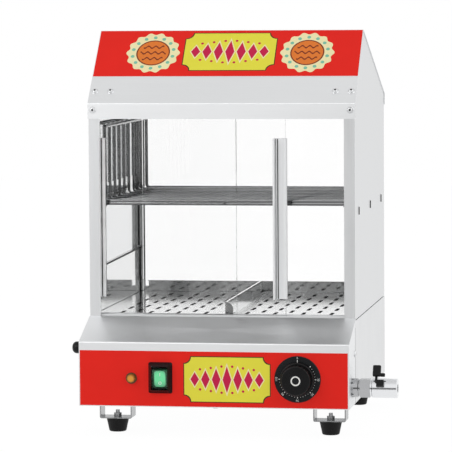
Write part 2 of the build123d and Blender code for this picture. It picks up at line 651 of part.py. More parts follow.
def on_slope(x, along, lift=0.0):
    """A frame on the hood's front slope: local X is the width, local Y runs up the slope."""
    run, rise = cos(radians(SLOPE_ANGLE)), sin(radians(SLOPE_ANGLE))
    origin = (x, -SHEET + along * run - lift * rise, HOOD_BEND + along * rise + lift * run)
    return Plane(origin=origin, x_dir=(1, 0, 0), z_dir=(0, -rise, run))


def side_panel():
    """Right side panel with the gable, folded in all round; the front and rear folds are posts."""
    rear_top = HOOD_INNER[3][1] + (HOOD_INNER[3][0] - DEPTH) * tan(radians(REAR_ANGLE))
    gable = [(0, PANEL_BOTTOM), (0, HOOD_INNER[1][1]), HOOD_INNER[2], (DEPTH, rear_top),
             (DEPTH, PANEL_BOTTOM)]
    inner = offset_line(gable + gable[:2], SHEET)[1:-1]
    outside = CABINET_HALF
    panel = prism_x(profile(gable, (1, 2, 3), BEND + 0.2), outside - POST, outside)
    panel -= prism_x(profile(inner), outside - POST - 1, outside - SHEET)
    panel += block(outside - POST, outside - POST + SHEET, 0, 4, TRACK_TOP + 0.5, LIP_BOTTOM)
    panel -= block(outside - POST - 1, REAR_WINDOW_HALF, DEPTH - 2, DEPTH + 1,
                   REAR_WINDOW_FOOT, LIP_BOTTOM)
    for y in HOOK_Y:
        panel -= block(outside - 2, outside + 1, y - 1.3, y + 1.3, HOOK_Z - 5.5, HOOK_Z + 5.5)
    panel -= rod_y(LIP_SCREW_X, -5, 5, LIP_SCREW_Z, 2.1)
    return panel - on_slope(SLOPE_SCREWS_X[1], SLOPE_SCREW_UP).offset(-8) * Cylinder(2.1, 20)


def behind_ridge(distance):
    """A point on the rear slope, this far down from the ridge."""
    angle = radians(REAR_ANGLE)
    return RIDGE_Y + distance * cos(angle), RIDGE_Z - distance * sin(angle)


def hood_front():
    """Lip, front slope and the hem behind the ridge."""
    sheet = prism_x(folded_sheet(HOOD_OUTER[:3] + [behind_ridge(HOOD_HEM)]), -HOOD_HALF, HOOD_HALF)
    for side in (-1, 1):
        sheet -= rod_y(side * LIP_SCREW_X, -5, 5, LIP_SCREW_Z, 2.1)
        for x in SLOPE_SCREWS_X:
            sheet -= on_slope(side * x, SLOPE_SCREW_UP) * Cylinder(2.1, 20)
    return sheet


def hood_rear():
    """Rear slope and its turned-down rear lip."""
    rear_lip = 18.0
    line = [behind_ridge(HOOD_HEM + EPS), HOOD_OUTER[3], (DEPTH + SHEET, REAR_SLOPE_BOTTOM - rear_lip)]
    return prism_x(folded_sheet(line), -HOOD_HALF, HOOD_HALF)


def hood_film():
    """Printed film on the upper part of the front slope."""
    length = SLOPE_LENGTH - FILM_START - 1.6
    return on_slope(0, FILM_START + length / 2, FILM / 2) * Box(399.0, length, FILM)


def corner_gussets():
    """Plates under the slope that tie the posts, the hood and the top track together."""
    plates = []
    for side in (-1, 1):
        middle = side * 177.0
        plate = on_slope(middle, SLOPE_SCREW_UP + 4, -1.5 * SHEET - 1.2) * Box(34, 44, 1.4)
        for x in SLOPE_SCREWS_X:
            plate -= on_slope(side * x, SLOPE_SCREW_UP) * Cylinder(2.1, 20)
        plates.append(plate)
    return plates


def cup_washer():
    """Dished washer on Z = 0."""
    ring = Cylinder(5.2, 1.0, align=(Align.CENTER, Align.CENTER, Align.MIN))
    ring = chamfer(ring.edges().sort_by(Axis.Z)[-1], 0.5)
    return ring - Cylinder(2.1, 5)


def socket_screw(radius, length):
    """A button head on Z = 0 with its shank below it and a hexagon socket."""
    top = radius * 0.6
    screw = Cylinder(radius, top, align=(Align.CENTER, Align.CENTER, Align.MIN))
    screw = fillet(screw.edges().sort_by(Axis.Z)[-1], top * 0.6)
    screw += rod_z(0, 0, -length, 0, 2.0)
    return screw - Pos(0, 0, 0.4) * extrude(RegularPolygon(1.7, 6), top)


def hood_screws():
    """Six hood screws, each with its cup washer."""
    fixings = []
    shank = 4.6
    for side in (-1, 1):
        lip_point = (side * LIP_SCREW_X, -SHEET, LIP_SCREW_Z)
        frames = [Plane(origin=lip_point, x_dir=(1, 0, 0), z_dir=(0, -1, 0))]
        frames += [on_slope(side * x, SLOPE_SCREW_UP) for x in SLOPE_SCREWS_X]
        for frame in frames:
            fixings.append(frame * cup_washer())
            fixings.append(frame.offset(1.0) * socket_screw(3.4, shank))
    return fixings


def rear_frame():
    """Rear wall between the posts, with the window opening and its raised sill."""
    half = CABINET_HALF - SHEET - EPS
    y1 = DEPTH - SHEET
    frame = block(-half, half, y1 - SHEET, y1, PANEL_BOTTOM + SHEET, 490)
    frame -= block(-REAR_WINDOW_HALF, REAR_WINDOW_HALF, y1 - 5, y1 + 5, REAR_WINDOW_FOOT, LIP_BOTTOM)
    frame += block(-SILL_HALF, SILL_HALF, y1 - SHEET, y1, REAR_WINDOW_FOOT, SILL_TOP)
    return frame + block(-SILL_HALF, SILL_HALF, y1 - 6, y1, SILL_TOP - SHEET, SILL_TOP)


def rear_glass():
    half = REAR_WINDOW_HALF + 5
    return block(-half, half, GLASS_REAR - GLASS, GLASS_REAR, SILL_TOP + 0.2, LIP_BOTTOM + 12)


def glass_retainers():
    """Two folded strips that clamp the rear glass at its sides."""
    edge = REAR_WINDOW_HALF + 5.3
    wall = DEPTH - 2 * SHEET
    glass_y = GLASS_REAR - GLASS
    strip = block(edge, CABINET_HALF - SHEET - EPS, wall - SHEET, wall, 200, 460)
    strip += block(edge, edge + SHEET, glass_y - SHEET, wall, 200, 460)
    strip += block(edge - 4.5, edge, glass_y - SHEET, glass_y, 200, 460)
    return strip, mirrored(strip)


def track(z0, z1, foot0, foot1):
    """A double channel across the opening: one foot and three ribs."""
    half = CABINET_HALF - SHEET - 0.2
    rib = 1.5
    y1 = TRACK_Y0 + TRACK_DEPTH
    rail = block(-half, half, TRACK_Y0, y1, foot0, foot1)
    for y in (TRACK_Y0, TRACK_Y0 + (TRACK_DEPTH - rib) / 2, y1 - rib):
        rail += block(-half, half, y, y + rib, z0, z1)
    return rail


def door_track_bottom():
    foot = PANEL_BOTTOM + SHEET
    return track(foot, TRACK_TOP, foot, foot + 1.4)


def door_track_top():
    top = 485.0
    return track(LIP_BOTTOM + 2.5, top, top - 1.6, top)


def side_liner():
    """Right-hand splash liner over the tank rim: a foot, and a top edge hemmed over to the wall
    that climbs to the rear."""
    y0, y1, foot, wall = 32.0, 368.0, PANEL_BOTTOM + SHEET, CABINET_HALF - SHEET - EPS
    front, rear = LINER_TOP
    sheet = profile([(y0, foot), (y1, foot), (y1, rear), (y0, front)])
    hem = profile([(y0, front - SHEET), (y1, rear - SHEET), (y1, rear), (y0, front)])
    liner = prism_x(sheet, LINER_X, LINER_X + SHEET)
    liner += block(LINER_X, wall, y0, y1, foot, foot + SHEET)
    return liner + prism_x(hem, LINER_X, wall)


def basket_rail():
    """Right-hand angle that carries the basket, with three hooks through the side panel."""
    outer = CABINET_HALF - SHEET
    rail = block(outer - SHEET, outer, 30, 366, RAIL_BOTTOM, RAIL_TOP)
    rail += block(outer - 20, outer, 30, 366, RAIL_SHELF - SHEET, RAIL_SHELF)
    for y in HOOK_Y:
        rail += block(outer - SHEET, outer + 2.3, y - 1.0, y + 1.0, HOOK_Z - 1.5, HOOK_Z + 4.5)
        rail += block(outer + SHEET + 0.1, outer + 2.3, y - 1.0, y + 1.0, HOOK_Z - 7, HOOK_Z + 4.5)
    return rail


# ---- doors --------------------------------------------------------------------------------
def door_pane(left, y):
    glass = block(left, left + DOOR_WIDTH - 2.0, y - GLASS / 2, y + GLASS / 2, PANE_BOTTOM, PANE_TOP)
    return chamfer(glass.edges().filter_by(Axis.Z), 0.5)


def right_handle():
    """Clip-on profile on the right pane's edge with a finger flange to the front."""
    right = RIGHT_DOOR_LEFT + DOOR_WIDTH
    left = right - HANDLE_WIDTH
    y0, y1 = FRONT_PANE_Y - 4, FRONT_PANE_Y + 4
    front = y0 - FINGER_FLANGE
    outline = [(left, front), (left + 2.4, front), (left + 2.4, y0), (left + 4.6, y0),
               (left + 4.6, y0 + 1.1), (left + 6.4, y0 + 1.1), (left + 6.4, y0), (right - 2.4, y0),
               (right, y0 + 2.2), (right, y1), (left, y1)]
    slot_wall = GLASS / 2
    bar = Pos(0, 0, HANDLE_BOTTOM) * raise_face(profile(outline), HANDLE_TOP - HANDLE_BOTTOM)
    return bar - block(left - 1, right - 2, FRONT_PANE_Y - slot_wall, FRONT_PANE_Y + slot_wall,
                       HANDLE_BOTTOM - 1, HANDLE_TOP + 1)


def left_pull():
    """Slim edge profile on the left pane, low enough to pass behind the right door."""
    left = -DOOR_STOP
    y0, y1 = REAR_PANE_Y - 3.4, REAR_PANE_Y + 3.4
    right = left + HANDLE_WIDTH
    outline = [(left, y0 + 1.2), (left + 1.6, y0), (left + 12, y0), (left + 12, y0 + 0.8),
               (left + 14, y0 + 0.8), (left + 14, y0), (right, y0), (right, y1), (left, y1)]
    bar = Pos(0, 0, HANDLE_BOTTOM) * raise_face(profile(outline), HANDLE_TOP - HANDLE_BOTTOM)
    return bar - block(left + 2, right + 1, REAR_PANE_Y - GLASS / 2, REAR_PANE_Y + GLASS / 2,
                       HANDLE_BOTTOM - 1, HANDLE_TOP + 1)


# ---- basket and trays ---------------------------------------------------------------------
def bun_basket():
    """Wire rack: U-shaped cross wires welded on a frame, with a rail along both top edges."""
    floor = RAIL_SHELF + EPS + FRAME_WIRE
    wire_z = floor + WIRE / 2 - 0.4
    y1 = BASKET_Y0 + BASKET_PITCH * (BASKET_WIRES - 1)
    wires = []
    for i in range(BASKET_WIRES):
        y = BASKET_Y0 + BASKET_PITCH * i
        radius = (FRAME_WIRE if i in (0, BASKET_WIRES - 1) else WIRE) / 2
        route = [(-BASKET_HALF, y, BASKET_TOP), (-BASKET_HALF, y, wire_z), (BASKET_HALF, y, wire_z),
                 (BASKET_HALF, y, BASKET_TOP)]
        path = FilletPolyline(*route, radius=BASKET_BEND)
        wires.append(sweep(Plane(origin=route[0], z_dir=(0, 0, -1)) * Circle(radius), path=path))
    frame_r, side_wire = FRAME_WIRE / 2, BASKET_HALF - 3.5
    frame_z = RAIL_SHELF + EPS + frame_r
    for side in (-1, 1):
        wires.append(rod_y(side * side_wire, BASKET_Y0 - 2, y1 + 2, frame_z, frame_r))
        wires.append(rod_y(side * (BASKET_HALF - 0.3), BASKET_Y0 - 2, y1 + 2, BASKET_TOP, frame_r + 0.4))
    for y in (BASKET_Y0, y1):
        wires.append(rod_x(-side_wire, side_wire, y, frame_z, frame_r))
    wires.append(rod_y(0, BASKET_Y0 - 3, y1, frame_z, WIRE / 2))
    return wires[0] + wires[1:]


def tray():
    """Right tray: perforated sheet with staggered slots and turned-down edges."""
    x0, x1, y0, y1 = TRAY_X0, TRAY_X1, TRAY_Y0, TRAY_Y1
    pan = block(x0, x1, y0, y1, PANEL_BOTTOM, TRAY_TOP)
    pan = fillet(pan.faces().sort_by(Axis.Z)[-1].edges(), 1.6)
    pan -= block(x0 + SHEET, x1 - SHEET, y0 + SHEET, y1 - SHEET, PANEL_BOTTOM - 1, TRAY_TOP - SHEET)
    pan -= block(CABINET_HALF - POST - EPS, x1 + 1, y0 - 1, y1 + 1, PANEL_BOTTOM - 1, TRAY_BOTTOM)
    pan -= block(x0 - 1, x0 + SHEET, TANK_Y0 + 3, TANK_Y1 - 3, PANEL_BOTTOM - 1, TRAY_BOTTOM)
    width, length = TRAY_SLOT
    slot = extrude(SlotOverall(length, width, rotation=90), 3, both=True)
    slots = []
    for column in range(TRAY_COLUMNS):
        for row in range(TRAY_ROWS):
            y = FIRST_SLOT[column % 2] + TRAY_ROW * row
            slots.append(Pos(FIRST_COLUMN + TRAY_COLUMN * column, y, TRAY_TOP) * slot)
    return pan - slots


def divider():
    """Upright strip on the right tray's inner edge: hemmed top, rounded lifting ear in front."""
    x0, top, y0, y1 = 0.2, DIVIDER_TOP, TANK_Y0 + 3, TRAY_Y1 - 2
    plate = block(x0, x0 + SHEET, y0, y1, TRAY_BOTTOM, top)
    width, rounding = 12.0, 11.5
    outline = [(x0, TRAY_TOP), (x0, top), (x0 + width, top), (x0 + width, TRAY_TOP)]
    ear = extrude(Plane.XZ.offset(-y0) * profile(outline, (2,), rounding), SHEET, dir=(0, 1, 0))
    foot = block(x0, x0 + 13, y0 + 20, y1 - 20, TRAY_TOP, TRAY_TOP + SHEET)
    hem = block(x0, x0 + 3, y0, y1, top - 3, top)
    return plate + ear + foot + hem


# ---- write every part ---------------------------------------------------------------------
def build():
    save("front_panel", front_panel())
    save("control_film", control_film())
    save("base_shell", base_shell())
    save("cross_rail", cross_rail())
    save("bottom_plate", bottom_plate())
    save("panel_screws", *panel_screws())
    save("foot_brackets", *at_feet(foot_bracket()))
    save("rubber_feet", *at_feet(rubber_foot()))
    screw, nut = foot_bolt()
    save("foot_bolts", *at_feet(screw), *at_feet(nut))

    save("water_tank", water_tank())
    save("heating_element", heating_element())
    save("tank_fittings", *tank_fittings())
    save("baffle_plate", baffle_plate())
    save("damper_plate", damper_plate())
    save("damper_rod", damper_rod())
    save("damper_knob", damper_knob())

    save("rocker_housing", rocker_housing())
    save("rocker_button", rocker_button())
    save("rocker_cover", rocker_cover())
    save("pilot_lens", pilot_lens())
    save("pilot_body", pilot_body())
    save("dial_ring", dial_ring())
    save("dial_knob", dial_knob())
    save("dial_cap", dial_cap())
    save("thermostat_shaft", thermostat_shaft())
    save("thermostat_body", thermostat_body())
    save("thermostat_bulb", thermostat_bulb())
    save("low_water_sensor", low_water_sensor())
    save("terminal_block", terminal_block())
    save("cord_gland", cord_gland())

    save("drain_pipe", drain_pipe())
    save("drain_locknuts", *drain_locknut())
    save("valve_body", valve_body())
    save("valve_ball", valve_ball())
    save("valve_stem", valve_stem())
    save("valve_lever", valve_lever())

    save("side_panel_right", side_panel())
    save("side_panel_left", mirrored(side_panel()))
    save("hood_front", hood_front())
    save("hood_rear", hood_rear())
    save("hood_film", hood_film())
    save("corner_gussets", *corner_gussets())
    save("hood_screws", *hood_screws())
    save("rear_frame", rear_frame())
    save("rear_glass", rear_glass())
    save("glass_retainers", *glass_retainers())
    save("side_liner_right", side_liner())
    save("side_liner_left", mirrored(side_liner()))
    save("basket_rail_right", basket_rail())
    save("basket_rail_left", mirrored(basket_rail()))
    save("door_track_bottom", door_track_bottom())
    save("door_track_top", door_track_top())
    save("door_glass_left", door_pane(-DOOR_STOP + 2.0, REAR_PANE_Y))
    save("door_glass_right", door_pane(RIGHT_DOOR_LEFT, FRONT_PANE_Y))
    save("door_pull_left", left_pull())
    save("door_handle_right", right_handle())

    save("bun_basket", bun_basket())
    save("tray_right", tray())
    save("tray_left", mirrored(tray()))
    save("tray_divider", divider())


build()
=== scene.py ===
import json
import math

import bmesh
import bpy
import numpy as np
from mathutils import Matrix, Vector

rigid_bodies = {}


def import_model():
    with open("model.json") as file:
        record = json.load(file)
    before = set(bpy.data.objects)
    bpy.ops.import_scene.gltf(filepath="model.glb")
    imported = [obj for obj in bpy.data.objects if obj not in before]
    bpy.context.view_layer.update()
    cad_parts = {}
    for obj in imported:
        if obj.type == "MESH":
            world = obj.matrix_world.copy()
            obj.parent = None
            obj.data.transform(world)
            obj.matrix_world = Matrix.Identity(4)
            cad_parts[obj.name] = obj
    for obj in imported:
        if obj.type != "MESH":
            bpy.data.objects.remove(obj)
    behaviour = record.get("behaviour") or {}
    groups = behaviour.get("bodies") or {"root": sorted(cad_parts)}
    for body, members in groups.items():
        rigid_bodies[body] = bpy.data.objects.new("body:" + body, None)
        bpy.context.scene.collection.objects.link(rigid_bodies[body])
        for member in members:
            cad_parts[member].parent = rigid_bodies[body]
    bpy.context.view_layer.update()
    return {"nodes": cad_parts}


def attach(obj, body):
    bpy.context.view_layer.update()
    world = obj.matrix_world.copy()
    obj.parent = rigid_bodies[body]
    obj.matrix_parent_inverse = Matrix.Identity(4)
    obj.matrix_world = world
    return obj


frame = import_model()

bl_info = {
    "name": "Hot Dog Steamer",
    "version": (1, 0, 0),
    "blender": (4, 5, 0),
    "location": "View3D > Sidebar > Steamer",
    "description": "Dresses a counter-top steamer: sheet metal, glazing, printed signs, dial and valve",
    "category": "Object",
}

# ---- the object's own measures, in millimetres ----
# The maker's frame has X = 0 in the middle of the cabinet, Y = 0 on its front posts and Z = 0 on
# the table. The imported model's origin stands at FRAME_ORIGIN in it.
FRAME_ORIGIN = np.array((15.25, 148.0, 0.0))
MILLIMETRE = 0.001
WELD_DISTANCE = 1e-6

SLOPE_FOOT = (-1.0, 491.2)      # Y and Z of the hood's lower bend
SLOPE_RIDGE = (103.2, 598.3)
HOOD_FILM_FACE = 0.3            # the film's face, above the slope's sheet
FRONT_FILM_FACE = -80.3         # Y of a printed face, as are the next faces
PRINT_BASE = 0.02               # gap under every printed layer
PRINT_STEP = 0.06               # from one ink layer to the next

DIAL = (124.5, 93.0)            # its middle: across, and up from the table
DIAL_RING_FACE = -81.8
KNOB_CAP_FACE = -101.9
ROCKER = (-78.2, -75.0, 92.5)   # a point on its pivot
ROCKER_TILT = math.radians(7.0)         # its lean at rest
ROCKER_FACE = (8.2, 1.4, 13.6)  # the middle's distance from the pivot, the ends' rise and half height
LAMP = (-121.2, 91.5)           # its middle: across, and up from the table
LIP_FACE = -1.0                 # Y of the hood's upright lip

SLOPE_SCREWS = (-192.4, -168.7, 168.7, 192.4)   # across the slope, and up it from the bend
SLOPE_SCREWS_UP = 24.6
LIP_SCREWS = (-192.6, 192.6)
LIP_SCREWS_UP = 481.5           # from the table
SOCKET_LIFT = 1.45              # floor of a socket above the sheet
SOCKET_RADIUS = 1.65
SOCKET_DEPTH = 0.1

HANDLE_SPAN = (201.8, 438.6)    # foot and top of the door profiles
HANDLE_LINES = ((81.0, 81.7, 5.45, 5.7), (83.3, 85.1, 6.55, 6.8))     # painted shade in the profile's grooves: left, right, front and back
# painted shade in the pull's groove: left, right, front and back
PULL_LINES = ((-184.9, -183.1, 18.85, 19.1),)
LINER_EDGE = (196.0, 242.8, 247.4)      # inner face, and height at the front and at the rear
LINER_REACH = (33.0, 367.0)     # front and rear end of a liner's bead
CORNER_SEAM = (198.0, 376.8, 249.5, 459.5)      # across, along, foot and top of a rear corner
BEAD = 1.5                      # radius of a dark bead, painted shade along a joint
BEAD_BITE = 0.1                 # how far a bead reaches into the sheet behind it
HOOK_SPAN, HOOK_HEIGHT = (199.3, 200.5), (324.5, 336.0)
HOOK_EDGES = ((47.6, 47.9), (190.6, 190.9), (333.6, 333.9))     # front and rear of each dark strip, painted shade on a hook's front face
BASE_SEAM = ((200.02, 200.08), (-5.9, -4.4), (47.0, 161.0))     # painted shade in the seam: across, along and up

HOOD_PANEL = (2.7, 104.2, 70.2, 38.8)       # middle across and up, half width and half height
FRONT_PANEL = (20.5, 91.0, 64.5, 34.0)
ROSETTES = ((-113.8, 102.0), (120.0, 102.0))            # their middles
ROSETTE_RADIUS = 39.0
ROSETTE_LOBES = 14
FRILL_DEPTH = 0.05              # of the lobes, as a share of the radius
ROSETTE_DISCS = (("_rims", 1, 0.66, "brown"), ("_discs", 2, 0.61, "orange"))    # with ink layer, share
BEAD_SHARES = (0.8, 0.075)      # the beads' circle and radius, as shares of the rosette's radius
WAVE_LEVELS = (-0.3, 0.0, 0.3)  # all of a wave's measures are shares of the rosette's radius
WAVE_REACH, WAVE_HEIGHT, WAVE_HALF_WIDTH = 0.5, 0.055, 0.035
WAVE_TURN = 22.0                # radians of the wave along one radius
OUTLINE_WIDTH = 1.3
SCOOP_SHARE = 0.3               # radius of a panel's scooped corners, as a share of its half height
LOZENGES = 7
ROW_SHARE = 0.74                # reach of the row of lozenges, as a share of the half width
TIP_SHARES = (0.72, 0.34)       # the middle lozenge's half height, and the ends' loss
LOZENGE_LAYERS = (("_edges", 2, 1.0, "cream"), ("_lozenges", 3, 0.8, "crimson"))
DOT_SHARES = (0.6, 0.2, 0.055)  # height of the middle dots, the end dots' loss, and their radius
RING_MARK = (5.2, 7.1)          # inner and outer radius of the ring on the knob's cap
SCALE_START, SCALE_STEP, SCALE_MARKS = 45.0, 9.0, 26    # degrees clockwise from the top
SCALE_RADIUS = 26.2
OFF_TICK = (-1.2, 2.6, 0.45)    # near and far end from the scale's radius, and half width
MAJOR_TICK = (-0.6, 1.6, 0.55)
MINOR_TICK = (-0.6, 0.5, 0.32)
MAJOR_EVERY = 5
NUMBER_RADIUS, ZERO_RADIUS = 30.6, 31.2
NUMBERS = ("30", "50", "70", "90", "110")
NUMBER_HEIGHT, ZERO_HEIGHT = 4.4, 4.0
LENS_HALF = (8.3, 11.7)
LENS_CORNER = 4.0
LENS_LIFT = (0.05, 0.6)         # back and face of the lens, above the rocker's face
MARK_LIFT = (0.4, 0.68)
MARK_UP = 6.4                   # height of the I above the rocker's middle, and depth of the O
BAR_HALF, BAR_CORNER = (0.5, 2.4), 0.4
RING_RADII = (1.5, 2.4)
SPANNER_END = 212.1             # the valve is turned beyond this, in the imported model's frame
WATER_LINE = 166.0              # above the table
SLOTTED_ACROSS = (-203.0, 173.0)        # where the trays' slots lie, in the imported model's frame
SLOTTED_ALONG = (-117.8, 199.0)
WIRE_SHADE = 0.24               # painted shade: brightness of a wire's sides and underside against its top
TIDE_MARK = 3.0                 # height of the scale's soft upper edge
NOISE_MIDDLE = (0.3, 0.7)       # where most of a noise's values lie
FACES_SIDEWAYS = 0.7            # a normal's X beyond which its face looks sideways
ROLLING_LINES = (1.6, 2.0, (1.0, 1.0, 60.0))    # grain size, detail and stretch of a noise
WIPING_MARKS = (3.0, 3.0, (8.0, 1.0, 8.0))
ZINC_MOTTLING = (2.2, 3.0)
TARNISH = (5.0, 4.0)
DIE_LINES = (0.7, 2.0, (1.0, 1.0, 200.0))

STUDIO_DARK = 0.12              # what mirrors see of the unlit studio behind the camera
STUDIO_CEILING = 0.78           # what mirrors see straight above
CEILING_RISE = (0.74, 0.96)     # Z of the directions where the fall-off begins and ends
DARK_MIDDLE = 0.01              # height of the unlit part's middle, as Z of the direction
DARK_HALF = (0.32, 0.19)        # its half width and half height, as X and Z of the direction
DARK_RIM = (1.1, 0.85)          # where its soft rim begins and ends, as a share of those

PAPER_GLOW = 1.03
GLASS_GAIN = 0.029              # the studio is this much brighter behind each face of glass
KEY_PLACE, KEY_SIZE = (-1.2, -1.7, 1.15), 1.4   # metres
FILL_PLACE, FILL_SIZE = (2.4, -1.2, 1.6), 1.8
LIGHT_AIM = (0.0, 0.0, 0.3)

PICTURE_SIDE = 452              # pixels, both ways
FOCUS = 3040.96                 # pixels
FILM_GATE = 36.0
CAMERA_YAW, CAMERA_PITCH, CAMERA_ROLL = 0.165028, 0.07456, -0.006189
CAMERA_DISTANCE = 4.5
CAMERA_AIM = (7.187, 0.0, 309.782)


def hex_colour(code):
    """Linear colour of an sRGB hex code: each channel has the screen's power curve undone."""
    channels = [int(code[i:i + 2], 16) / 255 for i in (1, 3, 5)]
    return [c / 12.92 if c <= 0.04045 else ((c + 0.055) / 1.055) ** 2.4 for c in channels]


# ---- what a user would change ----
def colour(name, description, code):
    """A colour setting whose default is a hex code."""
    return bpy.props.FloatVectorProperty(
        name=name, description=description, default=hex_colour(code), size=3,
        subtype="COLOR", min=0.0, max=1.0)


class SteamerInks(bpy.types.PropertyGroup):
    """Printing inks of the two signs."""
    red: colour("Sign red", "Ground colour of both printed films", "#E52218")
    yellow: colour("Panel yellow", "Ground of the centre panels", "#E4DD45")
    outline: colour("Outline", "Line round the centre panels", "#3A3326")
    crimson: colour("Crimson", "Lozenge bands", "#C4204A")
    cream: colour("Cream", "Edges of the bands and the rosettes' ground", "#F0E6B4")
    orange: colour("Orange", "Rosette discs", "#E07A32")
    brown: colour("Brown", "Waves in the rosettes", "#7A3420")
    teal: colour("Teal", "Beads round the rosettes", "#7FC0A6")
    white: colour("White", "Dial scale and switch marks", "#E8E8E4")


class SteamerMetals(bpy.types.PropertyGroup):
    """Base colours of the metals."""
    brushed: colour("Brushed steel", "Front panel and hood", "#EAEBEC")
    satin: colour("Satin steel", "Body sheets and small fittings", "#E0E1E2")
    bright: colour("Bright steel", "Liners and trays", "#E4E5E5")
    # painted shade: this dark grey stands in for the shade inside the tank, along with its scale
    scaled: colour("Scaled steel", "Tank and steam plates", "#6E6D6B")
    aluminium: colour("Aluminium", "Door profiles and tracks", "#EFF0F1")
    zinc: colour("Zinc plate", "Foot brackets and bolts", "#B4B5B6")
    nickel: colour("Plated brass", "Drain valve", "#E6E7E9")
    brass: colour("Brass", "Turned fittings inside", "#C9A35C")


class SteamerStudio(bpy.types.PropertyGroup):
    """Floor and lights."""
    floor_half: bpy.props.FloatProperty(
        name="Floor half width", description="Half the side of the floor", default=6.0, unit="LENGTH")
    ambient: bpy.props.FloatProperty(
        name="Ambient", description="Strength of the even light all round", default=0.7, min=0.0)
    key: bpy.props.FloatProperty(
        name="Key", description="Power of the large softbox, in watts", default=10.0, unit="POWER")
    fill: bpy.props.FloatProperty(
        name="Fill", description="Power of the side softbox, in watts", default=14.0, unit="POWER")


# ---- meshes ----
def to_frame(points):
    """Millimetres in the maker's frame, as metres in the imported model's frame."""
    return (np.asarray(points, float) - FRAME_ORIGIN) * MILLIMETRE


def on_hood(across, up, lift):
    """Points on the hood's slope: across it, up it from the lower bend, and above its film."""
    run, rise = SLOPE_RIDGE[0] - SLOPE_FOOT[0], SLOPE_RIDGE[1] - SLOPE_FOOT[1]
    length = math.hypot(run, rise)
    run, rise = run / length, rise / length
    above = lift + HOOD_FILM_FACE
    across, up, above = np.broadcast_arrays(across, up, above)
    y = SLOPE_FOOT[0] + up * run - above * rise
    return np.stack((across, y, SLOPE_FOOT[1] + up * rise + above * run), -1)


def on_upright(across_from, face, up_from):
    """Places points on an upright face: across and up from a middle, and in front of it."""
    def place(across, up, lift):
        """Points of the face."""
        across, up, lift = np.broadcast_arrays(across, up, lift)
        return np.stack((across_from + across, face - lift, up_from + up), -1)
    return place


on_front = on_upright(0.0, FRONT_FILM_FACE, 0.0)
on_lip = on_upright(0.0, LIP_FACE, 0.0)
on_dial = on_upright(DIAL[0], DIAL_RING_FACE, DIAL[1])
on_cap = on_upright(DIAL[0], KNOB_CAP_FACE, DIAL[1])


def on_rocker(across, up, lift):
    """Points on the rocker's two faces, which fall towards its middle, tilted about its pivot."""
    across, up, lift = np.broadcast_arrays(across, up, lift)
    middle, rise, half_height = ROCKER_FACE
    depth = -(middle + rise * np.abs(up) / half_height) - lift
    tilt_cos, tilt_sin = math.cos(ROCKER_TILT), math.sin(ROCKER_TILT)
    y = depth * tilt_cos - up * tilt_sin
    z = depth * tilt_sin + up * tilt_cos
    return np.stack((ROCKER[0] + across, ROCKER[1] + y, ROCKER[2] + z), -1)


def quads(rows, columns, first=0, round_rows=False):
    """Corner numbers of the quads of a grid that is closed along its columns."""
    row = np.arange(rows if round_rows else rows - 1)[:, None]
    column = np.arange(columns)[None, :]
    here, there = row * columns, (row + 1) % rows * columns
    beside = (column + 1) % columns
    corners = np.stack(np.broadcast_arrays(here + column, here + beside, there + beside, there + column), -1)
    return corners.reshape(-1, 4) + first


def lofted(rings, start=None, end=None, round_path=False):
    """Vertices and faces of a skin over closed rings (ring, point, xyz). Each end that has a point
    is closed by a fan to it; with round_path the last ring joins the first."""
    rings = np.asarray(rings, float)
    rows, columns = rings.shape[:2]
    points = [rings.reshape(-1, 3)]
    faces = quads(rows, columns, round_rows=round_path).tolist()
    around = np.arange(columns)
    for tip, row in ((start, 0), (end, rows - 1)):
        if tip is None:
            continue
        centre = sum(len(p) for p in points)
        points.append(np.asarray(tip, float).reshape(1, 3))
        edge = row * columns + around
        fan = np.stack((edge, np.roll(edge, -1), np.full(columns, centre)), -1)
        faces += fan.tolist()
    return np.concatenate(points), faces


def joined(parts):
    """Several (vertices, faces) pairs as one."""
    points, faces, first = [], [], 0
    for part_points, part_faces in parts:
        points.append(part_points)
        faces += [[corner + first for corner in face] for face in part_faces]
        first += len(part_points)
    return np.concatenate(points), faces


def add_piece(name, parts, material, body):
    """A new object from (vertices, faces) pairs in the maker's frame, riding on a body."""
    points, faces = joined(parts)
    mesh = bpy.data.meshes.new(name)
    mesh.from_pydata(to_frame(points).tolist(), [], faces)
    shell = bmesh.new()
    shell.from_mesh(mesh)
    bmesh.ops.remove_doubles(shell, verts=shell.verts, dist=WELD_DISTANCE)
    bmesh.ops.recalc_face_normals(shell, faces=shell.faces)
    shell.to_mesh(mesh)
    shell.free()
    mesh.validate()
    mesh.materials.append(material)
    piece = bpy.data.objects.new(name, mesh)
    bpy.context.scene.collection.objects.link(piece)
    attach(piece, body)
    return piece


def patch(place, outline, low, high):
    """A flat printed patch: its outline (point, 2) is star-shaped about its middle, and two fans
    from the middle close its back and its face."""
    middle = (outline.min(0) + outline.max(0)) / 2
    rings = [place(outline[:, 0], outline[:, 1], lift) for lift in (low, high)]
    return lofted(rings, place(*middle, low), place(*middle, high))


def ribbon(place, left, right, low, high, round_path=False):
    """A printed strip between two lines (point, 2): a rectangular section is carried along them."""
    section = [place(left[:, 0], left[:, 1], low), place(left[:, 0], left[:, 1], high),
               place(right[:, 0], right[:, 1], high), place(right[:, 0], right[:, 1], low)]
    rings = np.stack(section, 1)
    if round_path:
        return lofted(rings, round_path=True)
    return lofted(rings, rings[0].mean(0), rings[-1].mean(0))


def layer(number):
    """Back and face of an ink layer, above the film."""
    return PRINT_BASE, PRINT_BASE + PRINT_STEP * (number + 1)


def ellipse(middle, half_across, half_up, points=32):
    """Outline of an ellipse, middle + (a cos t, b sin t); four points make it a lozenge."""
    turn = np.linspace(0.0, 2.0 * np.pi, points, endpoint=False)
    return np.stack((middle[0] + half_across * np.cos(turn), middle[1] + half_up * np.sin(turn)), -1)


